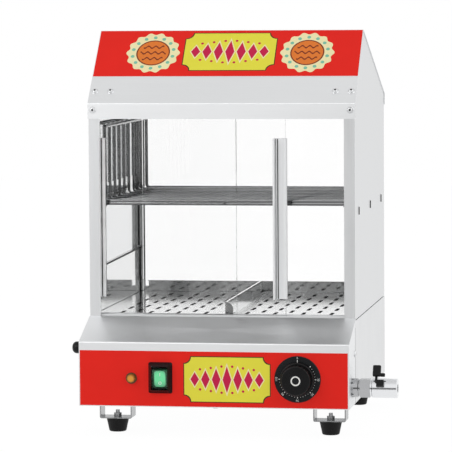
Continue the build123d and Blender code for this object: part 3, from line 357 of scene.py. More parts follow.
def frill(middle, radius, depth, lobes, points=168):
    """Outline r = radius (1 + depth cos(lobes t)), a scalloped disc."""
    turn = np.linspace(0.0, 2.0 * np.pi, points, endpoint=False)
    reach = radius * (1.0 + depth * np.cos(lobes * turn))
    return np.stack((middle[0] + reach * np.cos(turn), middle[1] + reach * np.sin(turn)), -1)


def cornered(middle, half_across, half_up, radius, scooped, points=9):
    """Outline of a rectangle with quarter circles at its corners, (sx hx, sy hy) + r (cos t, sin t):
    scooped ones are centred on the corner, rounded ones a radius inside it."""
    quarter = np.radians(90.0) * np.arange(4)[:, None]
    sweep = np.linspace(0.0, np.radians(90.0), points)[None, :]
    turn = quarter - np.radians(90.0) - sweep if scooped else quarter + sweep
    side_across = np.array((1.0, -1.0, -1.0, 1.0))[:, None]
    side_up = np.array((1.0, 1.0, -1.0, -1.0))[:, None]
    inset = 0.0 if scooped else radius
    across = middle[0] + side_across * (half_across - inset) + radius * np.cos(turn)
    up = middle[1] + side_up * (half_up - inset) + radius * np.sin(turn)
    return np.stack((across, up), -1).reshape(-1, 2)


def spoke(angle, near, far, half_width):
    """A tick on the dial: a rectangle along the spoke at an angle, clockwise from the top. Its ends
    are measured from the scale's radius."""
    turn = math.radians(angle)
    near, far = SCALE_RADIUS + near, SCALE_RADIUS + far
    along = np.array((math.sin(turn), math.cos(turn)))
    aside = np.array((along[1], -along[0])) * half_width
    return np.array((along * near - aside, along * near + aside, along * far + aside, along * far - aside))


def raised_digits(text, height, angle, radius):
    """Digits on the dial's plate, their feet towards its middle, as (vertices, faces)."""
    curve = bpy.data.curves.new("digits", "FONT")
    curve.body = text
    curve.size = height
    curve.align_x = "CENTER"
    curve.align_y = "CENTER"
    curve.extrude = PRINT_STEP / 2
    curve.resolution_u = 3
    holder = bpy.data.objects.new("digits", curve)
    mesh = bpy.data.meshes.new_from_object(holder)
    points = np.empty(len(mesh.vertices) * 3)
    mesh.vertices.foreach_get("co", points)
    across, up, lift = points.reshape(-1, 3).T
    faces = [list(polygon.vertices) for polygon in mesh.polygons]
    for data, store in ((holder, bpy.data.objects), (curve, bpy.data.curves), (mesh, bpy.data.meshes)):
        store.remove(data)
    turn = math.radians(angle)
    reach = radius + up
    placed = on_dial(across * math.cos(turn) + reach * math.sin(turn),
                     reach * math.cos(turn) - across * math.sin(turn), lift + PRINT_BASE + PRINT_STEP)
    return placed, faces


def upright(left, right, front, back, foot, top):
    """An upright strip: a rectangle carried from its foot to its top."""
    corners = np.array(((left, front), (right, front), (right, back), (left, back)))
    rings = [np.column_stack((corners, np.full(4, height))) for height in (foot, top)]
    return lofted(rings, rings[0].mean(0), rings[1].mean(0))


def side_line(side, span, along, height):
    """An upright strip on a side face."""
    return upright(side * span[0], side * span[1], *along, *height)


def corner_shade_bead(side):
    """A dark bead up a rear corner, painted shade of the corner: a quarter round, x = corner - r cos t, y =
    corner - r sin t.
    """
    across, along, foot, top = CORNER_SEAM
    turn = np.linspace(0.0, np.pi / 2, 6)
    corner = np.array(((across + BEAD_BITE, along + BEAD_BITE),))
    bulge = np.stack((across - BEAD * np.cos(turn), along - BEAD * np.sin(turn)), -1)
    section = np.concatenate((corner, bulge))
    rings = [np.stack((side * section[:, 0], section[:, 1], np.full(len(section), height)), -1)
             for height in (foot, top)]
    return lofted(rings, rings[0].mean(0), rings[1].mean(0))


def liner_shade_bead(side):
    """A dark bead under a liner's top edge, painted shade of the joint: a half round of radius BEAD,
    x = face - r cos t, z = edge - r + r sin t, carried from the front to the rear."""
    face, front, rear = LINER_EDGE
    turn = np.linspace(-np.pi / 2, np.pi / 2, 9)
    rings = []
    for y, edge in zip(LINER_REACH, (front, rear)):
        across = side * (face + BEAD_BITE - BEAD * np.cos(turn))
        rings.append(np.stack((across, np.full_like(turn, y), edge - BEAD + BEAD * np.sin(turn)), -1))
    return lofted(rings, rings[0].mean(0), rings[1].mean(0))


def print_layer(name, place, outlines, number, ink, body="cabinet"):
    """One ink layer, whose patches together make one piece."""
    add_piece(name, [patch(place, outline, *layer(number)) for outline in outlines], ink, body)


def print_panel(name, place, measures, inks):
    """A yellow panel with scooped corners, and in it a row of lozenges, tallest in the middle, with
    dots above and below the gaps."""
    across, up, half_across, half_up = measures
    middle = (across, up)
    scoop = half_up * SCOOP_SHARE
    print_layer(name + "_outline", place, [cornered(middle, half_across, half_up, scoop, True)], 0,
                inks["outline"])
    inner = [half - OUTLINE_WIDTH for half in (half_across, half_up)]
    print_layer(name + "_ground", place, [cornered(middle, *inner, scoop, True)], 1, inks["yellow"])
    steps = np.linspace(-1.0, 1.0, LOZENGES)
    reach = half_across * ROW_SHARE
    half_pitch = reach * (steps[1] - steps[0]) / 2
    tips = half_up * (TIP_SHARES[0] - TIP_SHARES[1] * np.abs(steps))
    for layer_name, number, share, ink in LOZENGE_LAYERS:
        shapes = [ellipse((across + reach * step, up), half_pitch * share, tip * share, 4)
                  for step, tip in zip(steps, tips)]
        print_layer(name + layer_name, place, shapes, number, inks[ink])
    height, loss, size = (half_up * share for share in DOT_SHARES)
    gaps = (steps[:-1] + steps[1:]) / 2
    dots = [ellipse((across + reach * gap, up + side * (height - loss * abs(gap))), size, size, 12)
            for gap in gaps for side in (-1, 1)]
    print_layer(name + "_dots", place, dots, 2, inks["crimson"])


def print_rosettes(name, place, inks):
    """Scalloped cream rosettes, each with a ring of beads and an orange disc crossed by waves."""
    radius = ROSETTE_RADIUS
    frills = [frill(spot, radius, FRILL_DEPTH, ROSETTE_LOBES) for spot in ROSETTES]
    print_layer(name + "_frill", place, frills, 0, inks["cream"])
    turns = 2.0 * np.pi / ROSETTE_LOBES * (np.arange(ROSETTE_LOBES) + 0.5)
    circle, size = (radius * share for share in BEAD_SHARES)
    beads = [ellipse((spot[0] + circle * math.cos(turn), spot[1] + circle * math.sin(turn)), size, size, 12)
             for spot in ROSETTES for turn in turns]
    print_layer(name + "_beads", place, beads, 1, inks["teal"])
    for layer_name, number, share, ink in ROSETTE_DISCS:
        discs = [ellipse(spot, radius * share, radius * share) for spot in ROSETTES]
        print_layer(name + layer_name, place, discs, number, inks[ink])
    waves = []
    for spot in ROSETTES:
        for level in WAVE_LEVELS:
            reach = math.sqrt(WAVE_REACH ** 2 - level ** 2)
            run = np.linspace(-reach, reach, 40)
            crest = level + WAVE_HEIGHT * np.sin(run * WAVE_TURN)
            edges = [np.stack((spot[0] + radius * run, spot[1] + radius * (crest + offset)), -1)
                     for offset in (-WAVE_HALF_WIDTH, WAVE_HALF_WIDTH)]
            waves.append(ribbon(place, *edges, *layer(3)))
    add_piece(name + "_waves", waves, inks["brown"], "cabinet")


# ---- materials ----
def add_node(tree, kind, inputs=None, **settings):
    """One shader node with its settings; each input is a socket to link from, or a constant."""
    made = tree.nodes.new("ShaderNode" + kind)
    for name, value in settings.items():
        setattr(made, name, value)
    for socket, value in (inputs or {}).items():
        if isinstance(value, bpy.types.NodeSocket):
            tree.links.new(value, made.inputs[socket])
        else:
            made.inputs[socket].default_value = value
    return made


def begin_material(name, base, **sockets):
    """A material with one Principled shader joined to its output, and its constants."""
    material = bpy.data.materials.new(name)
    material.use_nodes = True
    tree = material.node_tree
    tree.nodes.clear()
    constants = {name.replace("_", " "): value for name, value in sockets.items()}
    shader = add_node(tree, "BsdfPrincipled", {"Base Color": (*base, 1.0), **constants})
    add_node(tree, "OutputMaterial", {"Surface": shader.outputs["BSDF"]})
    return material, tree, shader


def feed(shader, **sockets):
    """Link sockets to the shader's inputs."""
    for name, socket in sockets.items():
        shader.id_data.links.new(socket, shader.inputs[name.replace("_", " ")])


def calc(tree, operation, *values):
    """One operation on numbers, each a socket or a constant."""
    return add_node(tree, "Math", dict(enumerate(values)), operation=operation).outputs[0]


def calc_vector(tree, operation, *values):
    """One operation on vectors, whose result is a vector, or a number for a length."""
    made = add_node(tree, "VectorMath", dict(enumerate(values)), operation=operation)
    return made.outputs["Value" if operation == "LENGTH" else "Vector"]


def ramp(tree, value, start, end, low=0.0, high=1.0):
    """Low where the value is at start and high where it is at end, held beyond both."""
    made = add_node(tree, "MapRange",
                    {"Value": value, "From Min": start, "From Max": end, "To Min": low, "To Max": high})
    return made.outputs["Result"]


def blend(tree, share, first, second):
    """A number between two numbers."""
    return add_node(tree, "Mix", {"Factor": share, 2: first, 3: second}).outputs[0]


def tinted(tree, share, first, second):
    """A colour between two colours, each a socket or a constant."""
    ends = {slot: end if isinstance(end, bpy.types.NodeSocket) else (*end, 1.0)
            for slot, end in ((6, first), (7, second))}
    return add_node(tree, "Mix", {"Factor": share, **ends}, data_type="RGBA").outputs[2]


def split(tree, vector):
    """X, Y and Z of a vector."""
    return add_node(tree, "SeparateXYZ", {"Vector": vector}).outputs


def coordinates(tree, kind="Object"):
    """Object coordinates, or the object's normal."""
    return add_node(tree, "TexCoord").outputs[kind]


def noise(tree, size_mm, detail=2.0, stretch=(1.0, 1.0, 1.0), vector=None, roughness=0.5):
    """Noise whose grains measure size_mm, longer along an axis by its stretch."""
    if vector is None:
        vector = coordinates(tree)
    scale = [1.0 / (size_mm * MILLIMETRE * factor) for factor in stretch]
    mapped = add_node(tree, "Mapping", {"Vector": vector, "Scale": scale})
    made = add_node(tree, "TexNoise",
                    {"Vector": mapped.outputs["Vector"], "Scale": 1.0, "Detail": detail,
                     "Roughness": roughness})
    return made.outputs["Fac"]


def spread(tree, grain, low, high):
    """A noise's middle range, spread between two numbers."""
    return ramp(tree, grain, *NOISE_MIDDLE, low, high)


def darker(base, share):
    """A colour with its channels at a share of what they were."""
    return [channel * share for channel in base]


def mottled(tree, grain, base, share):
    """A colour that the noise darkens, to a share of itself at most."""
    return tinted(tree, spread(tree, grain, 0.0, 1.0), darker(base, share), base)


def add_bump(tree, shader, height, depth_mm):
    """Relief of a depth on the shader's surface."""
    made = add_node(tree, "Bump",
                    {"Height": height, "Distance": depth_mm * MILLIMETRE, "Strength": 1.0})
    feed(shader, Normal=made.outputs["Normal"])


def wrapped_coordinates(tree):
    """Object coordinates turned so that X runs level along a sheet, whichever way it faces: on
    faces that look sideways, X and Y change places."""
    parts = split(tree, coordinates(tree))
    turn = calc(tree, "ABSOLUTE", split(tree, coordinates(tree, "Normal"))["X"])
    sideways = calc(tree, "GREATER_THAN", turn, FACES_SIDEWAYS)
    level, across = (blend(tree, sideways, parts[straight], parts[turned])
                     for straight, turned in ("XY", "YX"))
    made = add_node(tree, "CombineXYZ", {"X": level, "Y": across, "Z": parts["Z"]})
    return made.outputs["Vector"]


def brushed_stainless(base):
    """Austenitic stainless sheet, belt-ground along the fold: long level scratches that spread a
    reflection upwards. Real scratches are 0.1 mm wide; they are drawn 1 mm wide so that they show."""
    material, tree, shader = begin_material("brushed_stainless", base, Metallic=1.0, Anisotropic=0.35)
    vector = wrapped_coordinates(tree)
    scratches = noise(tree, 1.0, 3.0, (90.0, 1.0, 1.0), vector, 0.6)
    cloud = noise(tree, 60.0, 2.0, (3.0, 1.0, 1.0), vector)
    uneven = calc(tree, "ADD", spread(tree, scratches, 0.45, 0.51), spread(tree, cloud, -0.02, 0.03))
    feed(shader, Base_Color=mottled(tree, scratches, base, 0.975), Roughness=uneven)
    add_bump(tree, shader, scratches, 0.005)
    return material


def satin_stainless(base):
    """Cold-rolled stainless sheet, 2B finish: a fine matt skin with faint rolling lines and the
    odd handling smear."""
    material, tree, shader = begin_material("satin_stainless", base, Metallic=1.0)
    vector = wrapped_coordinates(tree)
    rolling = noise(tree, *ROLLING_LINES, vector)
    smears = noise(tree, 45.0, 3.0, (1.0, 1.0, 1.6), vector)
    uneven = calc(tree, "ADD", spread(tree, rolling, 0.33, 0.38), spread(tree, smears, -0.03, 0.05))
    feed(shader, Base_Color=mottled(tree, rolling, base, 0.97), Roughness=uneven)
    add_bump(tree, shader, rolling, 0.006)
    return material


def side_sheet(name, base, outward):
    """Stainless sheet that is satin on the face it shows and bright-annealed on its inner face;
    outward is +1 on the right and -1 on the left."""
    material, tree, shader = begin_material(name, base, Metallic=1.0)
    rolling = noise(tree, *ROLLING_LINES)
    facing = split(tree, coordinates(tree, "Normal"))["X"]
    inner = ramp(tree, facing, -0.2 * outward, -0.9 * outward)
    feed(shader, Base_Color=mottled(tree, rolling, base, 0.98),
         Roughness=blend(tree, inner, spread(tree, rolling, 0.38, 0.44), 0.07))
    return material


def even_metal(name, base, grain, share, rough, relief=None, metallic=1.0):
    """A metal with one noise (its size, detail and stretch), which darkens the colour to a share of
    itself, moves the roughness between two numbers, and has a relief in millimetres or none."""
    material, tree, shader = begin_material(name, base, Metallic=metallic)
    height = noise(tree, *grain)
    feed(shader, Base_Color=mottled(tree, height, base, share), Roughness=spread(tree, height, *rough))
    if relief is not None:
        add_bump(tree, shader, height, relief)
    return material


def bright_stainless(base):
    """Bright-annealed stainless: nearly a mirror, with slight waves from pressing."""
    material, tree, shader = begin_material("bright_stainless", base, Metallic=1.0)
    wiped = noise(tree, *WIPING_MARKS)
    feed(shader, Base_Color=mottled(tree, wiped, base, 0.96), Roughness=spread(tree, wiped, 0.05, 0.1))
    add_bump(tree, shader, noise(tree, 35.0, 1.0), 0.12)
    return material


def punched_stainless(base):
    """Bright-annealed sheet with punched slots; in the slotted area the faces that do not look up are
    painted near black and dull, as painted shade in the slots.
    """
    material, tree, shader = begin_material("punched_stainless", base, Metallic=1.0)
    wiped = noise(tree, *WIPING_MARKS)
    # painted shade: within the slotted area, faces that do not look up are darkened to near black
    edge = ramp(tree, split(tree, coordinates(tree, "Normal"))["Z"], 0.6, 0.1)
    for axis, (low, high) in zip(split(tree, coordinates(tree)), (SLOTTED_ACROSS, SLOTTED_ALONG)):
        middle, reach = (low + high) / 2 * MILLIMETRE, (high - low) / 2 * MILLIMETRE
        edge = calc(tree, "MULTIPLY", edge, calc(tree, "COMPARE", axis, middle, reach))
    feed(shader, Base_Color=tinted(tree, edge, base, darker(base, 0.08)),
         Roughness=blend(tree, edge, spread(tree, wiped, 0.12, 0.18), 0.5))
    return material


def scaled_and_shaded_stainless(base, bright):
    """Stainless that has held water over heat: dulled and darkened by scale in soft patches, up to
    the water line, and bright above it. Below the water line its dark colour is also painted shade of the
    tank's inside."""
    material, tree, shader = begin_material("scaled_and_shaded_stainless", base, Metallic=1.0)
    scale = noise(tree, 30.0, 4.0)
    height = split(tree, coordinates(tree))["Z"]
    above = ramp(tree, height, (WATER_LINE - TIDE_MARK) * MILLIMETRE, WATER_LINE * MILLIMETRE)
    feed(shader, Base_Color=tinted(tree, above, mottled(tree, scale, base, 0.7), bright),
         Roughness=blend(tree, above, spread(tree, scale, 0.38, 0.55), 0.3))
    return material


def polished_wire(base):
    """Electropolished stainless wire: full colour above, with drawing lines softened by the acid, and
    darkened on its sides and below as painted shade."""
    material, tree, shader = begin_material("electropolished_wire", base, Metallic=1.0)
    # painted shade: faces that look sideways or down get a darker colour
    lit_share = ramp(tree, split(tree, coordinates(tree, "Normal"))["Z"], 0.1, 0.8)
    feed(shader, Base_Color=tinted(tree, lit_share, darker(base, WIRE_SHADE), base),
         Roughness=spread(tree, noise(tree, 0.8, 2.0), 0.05, 0.1))
    return material


def plated_brass(base):
    """Nickel-plated hot-pressed brass: bright where turned, darker on the spanner flats, with a
    slight orange peel."""
    material, tree, shader = begin_material("nickel_plated_brass", base, Metallic=1.0)
    peel = noise(tree, 1.5, 2.0)
    turned = calc(tree, "GREATER_THAN", split(tree, coordinates(tree))["X"], SPANNER_END * MILLIMETRE)
    feed(shader, Base_Color=tinted(tree, turned, darker(base, 0.55), base),
         Roughness=spread(tree, peel, 0.12, 0.2))
    add_bump(tree, shader, peel, 0.02)
    return material


def heated_sheath(base, oxide):
    """Heating-element sheath of nickel alloy, annealed: brown-grey oxide in bands of heat."""
    material, tree, shader = begin_material("heater_sheath", base, Metallic=0.85)
    bands = spread(tree, noise(tree, 14.0, 4.0), 0.0, 1.0)
    scale = noise(tree, 2.0, 3.0)
    feed(shader, Base_Color=tinted(tree, bands, base, oxide), Roughness=spread(tree, scale, 0.38, 0.6))
    add_bump(tree, shader, scale, 0.03)
    return material


def printed_film(name, ink):
    """Polycarbonate film, printed on its back: the ink lies under a clear face with a fine
    emboss, which gives the colour depth and a soft sheen."""
    material, tree, shader = begin_material(name, ink, Specular_IOR_Level=0.15)
    emboss = noise(tree, 0.9, 2.0)
    feed(shader, Base_Color=mottled(tree, noise(tree, 40.0, 2.0), ink, 0.965),
         Roughness=spread(tree, emboss, 0.4, 0.48))
    add_bump(tree, shader, emboss, 0.012)
    return material


def moulded_plastic(name, code, rough, grain_mm=0.8, grain_depth=0.02):
    """An injection-moulded plastic with spark-eroded grain: a matt skin, lighter on worn peaks."""
    base = hex_colour(code)
    material, tree, shader = begin_material(name, base, Specular_IOR_Level=0.22)
    grain = noise(tree, grain_mm, 3.0)
    rubbed = spread(tree, noise(tree, 18.0, 3.0), 0.0, 1.0)
    worn = [channel * 1.3 + 0.001 for channel in base]
    feed(shader, Base_Color=tinted(tree, rubbed, base, worn),
         Roughness=spread(tree, grain, rough - 0.05, rough + 0.06))
    add_bump(tree, shader, grain, grain_depth)
    return material


def toughened_glass():
    """Toughened glass, low in iron: smooth and without a tint."""
    return begin_material("toughened_glass", hex_colour("#FFFFFF"), Roughness=0.0, IOR=1.5,
                          Transmission_Weight=1.0)[0]


def clear_silicone():
    """Clear moulded silicone: a slightly uneven skin over a transparent body."""
    material, tree, shader = begin_material("clear_silicone", hex_colour("#F8FCFA"), IOR=1.2,
                                            Transmission_Weight=1.0)
    feed(shader, Roughness=spread(tree, noise(tree, 2.5, 2.0), 0.01, 0.05))
    return material


def lit_plastic(name, code, glow, strength, middle, reach):
    """Translucent tinted polycarbonate over a small lamp: it glows most before its middle (X and Z in
    the maker's frame); from the first reach to the second its glow fades and its colour is painted dark, as
    painted shade."""
    base = hex_colour(code)
    material, tree, shader = begin_material(name, base, Roughness=0.22, Coat_Weight=0.3, Coat_Roughness=0.1,
                                            Emission_Color=(*hex_colour(glow), 1.0))
    centre = to_frame((middle[0], 0.0, middle[1]))
    aside = calc_vector(tree, "ADD", coordinates(tree), tuple(-centre))
    away = calc_vector(tree, "LENGTH", calc_vector(tree, "MULTIPLY", aside, (1.0, 0.0, 1.0)))
    glow_fade_and_shade = ramp(tree, away, reach[0] * MILLIMETRE, reach[1] * MILLIMETRE)
    # painted shade: the colour is darkened where the lamp's glow fades
    feed(shader, Base_Color=tinted(tree, glow_fade_and_shade, base, darker(base, 0.16)),
         Emission_Strength=calc(tree, "MULTIPLY_ADD", glow_fade_and_shade, -strength, strength))
    return material


def seen_rays(tree):
    """Two masks: rays from the camera, off a mirror or through glass; and rays that have met a
    mirror on their way."""
    path = add_node(tree, "LightPath").outputs
    seen = path["Is Camera Ray"]
    for ray in ("Is Glossy Ray", "Is Transmission Ray"):
        seen = calc(tree, "MAXIMUM", seen, path[ray])
    return seen, calc(tree, "MINIMUM", path["Glossy Depth"], 1.0)


def through_glass(tree, brightness):
    """Brightness that makes up for what the panes take from it."""
    faces = add_node(tree, "LightPath").outputs["Transmission Depth"]
    return calc(tree, "MULTIPLY", brightness, calc(tree, "MULTIPLY_ADD", faces, GLASS_GAIN, 1.0))


def ceiling(tree, brightness, direction):
    """Brightness that falls off towards the studio's ceiling."""
    share = ramp(tree, split(tree, direction)["Z"], *CEILING_RISE, 1.0, STUDIO_CEILING)
    return calc(tree, "MULTIPLY", brightness, share)


def flagged(tree, mirrored, direction):
    """Brightness 1, falling to dark on mirrored rays that go towards the unlit part of the studio."""
    centred = calc_vector(tree, "ADD", direction, (0.0, 0.0, -DARK_MIDDLE))
    scaled = calc_vector(tree, "MULTIPLY", centred, (1.0 / DARK_HALF[0], 0.0, 1.0 / DARK_HALF[1]))
    lost = ramp(tree, calc_vector(tree, "LENGTH", scaled), *DARK_RIM, 0.0, 1.0 - STUDIO_DARK)
    ahead = calc(tree, "LESS_THAN", split(tree, direction)["Y"], 0.0)
    masks = calc(tree, "MULTIPLY", ahead, mirrored)
    return calc(tree, "SUBTRACT", 1.0, calc(tree, "MULTIPLY", lost, masks))


def studio_paper(name, code, glow_share):
    """Seamless paper that the camera, mirrors and glass see as white, and that still takes the
    object's shadow."""
    material, tree, shader = begin_material(name, hex_colour(code), Roughness=0.9)
    seen, mirrored = seen_rays(tree)
    back = add_node(tree, "NewGeometry").outputs["Incoming"]
    direction = calc_vector(tree, "MULTIPLY", back, (-1.0, -1.0, -1.0))
    lit = through_glass(tree, flagged(tree, mirrored, direction))
    white = add_node(tree, "Emission",
                     {"Color": (1.0, 1.0, 1.0, 1.0), "Strength": calc(tree, "MULTIPLY", lit, PAPER_GLOW)})
    mixed = add_node(tree, "MixShader", {0: calc(tree, "MULTIPLY", seen, glow_share),
                                                   1: shader.outputs[0], 2: white.outputs[0]})
    output = next(n for n in tree.nodes if n.type == "OUTPUT_MATERIAL")
    tree.links.new(mixed.outputs[0], output.inputs["Surface"])
    return material


def dress(node_names, material):
    """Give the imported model's nodes a material."""
    for name in node_names:
        mesh = frame["nodes"][name].data
        mesh.materials.clear()
        mesh.materials.append(material)


# ---- operators ----
class STEAMER_OT_sheet_metal(bpy.types.Operator):
    """Finish the folded sheets, liners, trays and wire"""
    bl_idname = "steamer.sheet_metal"
    bl_label = "Sheet metal"

    def execute(self, context):
        metals = context.scene.steamer_metals
        dress(("front_panel", "hood_front"), brushed_stainless(metals.brushed))
        dress(("base_shell", "bottom_plate", "damper_rod", "hood_rear", "corner_gussets", "drain_pipe",
               "thermostat_body", "panel_screws", "hood_screws"), satin_stainless(metals.satin))
        dress(("foot_brackets", "foot_bolts"),
              even_metal("zinc_plate", metals.zinc, ZINC_MOTTLING, 0.7, (0.2, 0.34)))
        dress(("water_tank", "baffle_plate", "damper_plate", "cross_rail"),
              scaled_and_shaded_stainless(metals.scaled, metals.bright))
        dress(("side_panel_right",), side_sheet("right_side_sheet", metals.satin, 1))
        dress(("side_panel_left",), side_sheet("left_side_sheet", metals.satin, -1))
        dress(("tray_right", "tray_left"), punched_stainless(metals.bright))
        dress(("side_liner_right", "side_liner_left", "tray_divider", "rear_frame", "glass_retainers",
               "basket_rail_right", "basket_rail_left"), bright_stainless(metals.bright))
        dress(("bun_basket",), polished_wire(metals.satin))
        return {"FINISHED"}


class STEAMER_OT_fittings(bpy.types.Operator):
    """Finish the door profiles, the valve, the heater and the brass parts"""
    bl_idname = "steamer.fittings"
    bl_label = "Fittings"

    def execute(self, context):
        metals = context.scene.steamer_metals
        dress(("door_track_bottom", "door_track_top", "door_handle_right"),
              even_metal("anodised_aluminium", metals.aluminium, DIE_LINES, 0.95, (0.42, 0.5), 0.008,
                         metallic=0.5))
        # painted reflection: the aluminium pull is given a white coat that stands in for its bright
        # reflection
        dress(("door_pull_left",), moulded_plastic("pull_painted_reflection", "#FFFFFF", 0.3, 1.0, 0.005))
        dress(("valve_body", "valve_ball", "drain_locknuts"), plated_brass(metals.nickel))
        dress(("valve_stem", "thermostat_shaft", "thermostat_bulb", "tank_fittings"),
              even_metal("turned_brass", metals.brass, TARNISH, 0.6, (0.24, 0.42)))
        dress(("heating_element",), heated_sheath(hex_colour("#4C4A48"), hex_colour("#7C6A58")))
        dress(("terminal_block",), moulded_plastic("steatite", "#D8D2C4", 0.45, 1.2))
        return {"FINISHED"}


class STEAMER_OT_glazing(bpy.types.Operator):
    """Finish the panes and the switch's clear cover"""
    bl_idname = "steamer.glazing"
    bl_label = "Glazing"

    def execute(self, context):
        dress(("door_glass_left", "door_glass_right", "rear_glass"), toughened_glass())
        dress(("rocker_cover",), clear_silicone())
        return {"FINISHED"}


class STEAMER_OT_plastics(bpy.types.Operator):
    """Finish the switch, lamp, knobs, feet and gland"""
    bl_idname = "steamer.plastics"
    bl_label = "Plastics and rubber"

    def execute(self, context):
        dress(("dial_knob", "damper_knob"), moulded_plastic("phenolic", "#070708", 0.3, 1.0))
        dress(("dial_ring", "dial_cap"), moulded_plastic("printed_black", "#131517", 0.26, 0.8, 0.005))
        dress(("valve_lever", "cord_gland", "low_water_sensor", "pilot_body"),
              moulded_plastic("nylon", "#060607", 0.38))
        # painted light: the cyan in this black cancels the red light that the film throws on the bezel
        dress(("rocker_housing",), moulded_plastic("nylon_bezel", "#061012", 0.28))
        dress(("rubber_feet",), moulded_plastic("moulded_rubber", "#050505", 0.55, 1.2, 0.04))
        dress(("rocker_button",),
              lit_plastic("green_polycarbonate", "#0F5A36", "#1F7A48", 0.06, ROCKER[::2], (11.0, 24.0)))
        dress(("pilot_lens",),
              lit_plastic("amber_polycarbonate", "#C98522", "#F0A83C", 0.14, LAMP, (3.2, 7.0)))
        # painted shade: near-black strips put in grooves, gaps and sockets where the cabinet is in shade
        shadow = moulded_plastic("painted_shade_black", "#0D0D0E", 0.5, 1.0, 0.01)
        for name, lines, body in (("handle_shade_lines", HANDLE_LINES, "right_door"),
                                  ("pull_shade_lines", PULL_LINES, "left_door")):
            add_piece(name, [upright(*line, *HANDLE_SPAN) for line in lines], shadow, body)
        # painted shade: dark beads along the liners and rear corners, strips on the hooks and a line in each
        # base seam
        beads = [shape(side) for shape in (liner_shade_bead, corner_shade_bead) for side in (-1, 1)]
        beads += [side_line(side, HOOK_SPAN, edge, HOOK_HEIGHT) for side in (-1, 1) for edge in HOOK_EDGES]
        beads += [side_line(side, *BASE_SEAM) for side in (-1, 1)]
        add_piece("painted_shade_lines", beads, shadow, "cabinet")
        # painted shade: a dark disc on the floor of each screw's socket
        sockets = [(on_hood, (across, SLOPE_SCREWS_UP), SOCKET_LIFT - HOOD_FILM_FACE)
                   for across in SLOPE_SCREWS]
        sockets += [(on_lip, (across, LIP_SCREWS_UP), SOCKET_LIFT) for across in LIP_SCREWS]
        floors = [patch(place, ellipse(middle, SOCKET_RADIUS, SOCKET_RADIUS, 6), lift, lift + SOCKET_DEPTH)
                  for place, middle, lift in sockets]
        add_piece("socket_shade", floors, shadow, "cabinet")
        return {"FINISHED"}


class STEAMER_OT_printed_films(bpy.types.Operator):
    """Finish the two red films"""
    bl_idname = "steamer.printed_films"
    bl_label = "Printed films"

    def execute(self, context):
        settings = context.scene.steamer_inks
        dress(("hood_film", "control_film"), printed_film("red_print", settings.red))
        inks = {name: printed_film(name + "_ink", getattr(settings, name))
                for name in ("outline", "yellow", "cream", "crimson", "orange", "brown", "teal")}
        print_panel("hood_panel", on_hood, HOOD_PANEL, inks)
        print_panel("front_panel_print", on_front, FRONT_PANEL, inks)
        print_rosettes("hood_rosette", on_hood, inks)
        return {"FINISHED"}


class STEAMER_OT_markings(bpy.types.Operator):
    """Print the dial's scale and the knob's ring, and fit the switch's lens and marks"""
    bl_idname = "steamer.markings"
    bl_label = "Dial and switch marks"

    def execute(self, context):
        white = printed_film("white_ink", context.scene.steamer_inks.white)
        marks = [spoke(0.0, *OFF_TICK)]
        for mark in range(SCALE_MARKS):
            tick = MINOR_TICK if mark % MAJOR_EVERY else MAJOR_TICK
            marks.append(spoke(SCALE_START + SCALE_STEP * mark, *tick))
        print_layer("dial_scale", on_dial, marks, 1, white, "cabinet")
        digits = [raised_digits(text, NUMBER_HEIGHT, SCALE_START + SCALE_STEP * MAJOR_EVERY * place,
                                NUMBER_RADIUS) for place, text in enumerate(NUMBERS, 1)]
        digits.append(raised_digits("0", ZERO_HEIGHT, 0.0, ZERO_RADIUS))
        add_piece("dial_numbers", digits, white, "cabinet")
        edges = [ellipse((0.0, 0.0), radius, radius, 48) for radius in RING_MARK]
        ring = ribbon(on_cap, *edges, *layer(0), round_path=True)
        add_piece("knob_ring", [ring], white, "thermostat_dial")
        lens = lit_plastic("green_lens", "#2FA765", "#8FF2BC", 0.42, ROCKER[::2], (7.0, 22.0))
        outline = cornered((0.0, 0.0), *LENS_HALF, LENS_CORNER, False)
        add_piece("rocker_lens", [patch(on_rocker, outline, *LENS_LIFT)], lens, "switch_rocker")
        bar = cornered((0.0, MARK_UP), *BAR_HALF, BAR_CORNER, False, 4)
        rings = [ellipse((0.0, -MARK_UP), radius, radius, 24) for radius in RING_RADII]
        marks = [patch(on_rocker, bar, *MARK_LIFT),
                 ribbon(on_rocker, *rings, *MARK_LIFT, round_path=True)]
        add_piece("rocker_marks", marks, white, "switch_rocker")
        return {"FINISHED"}


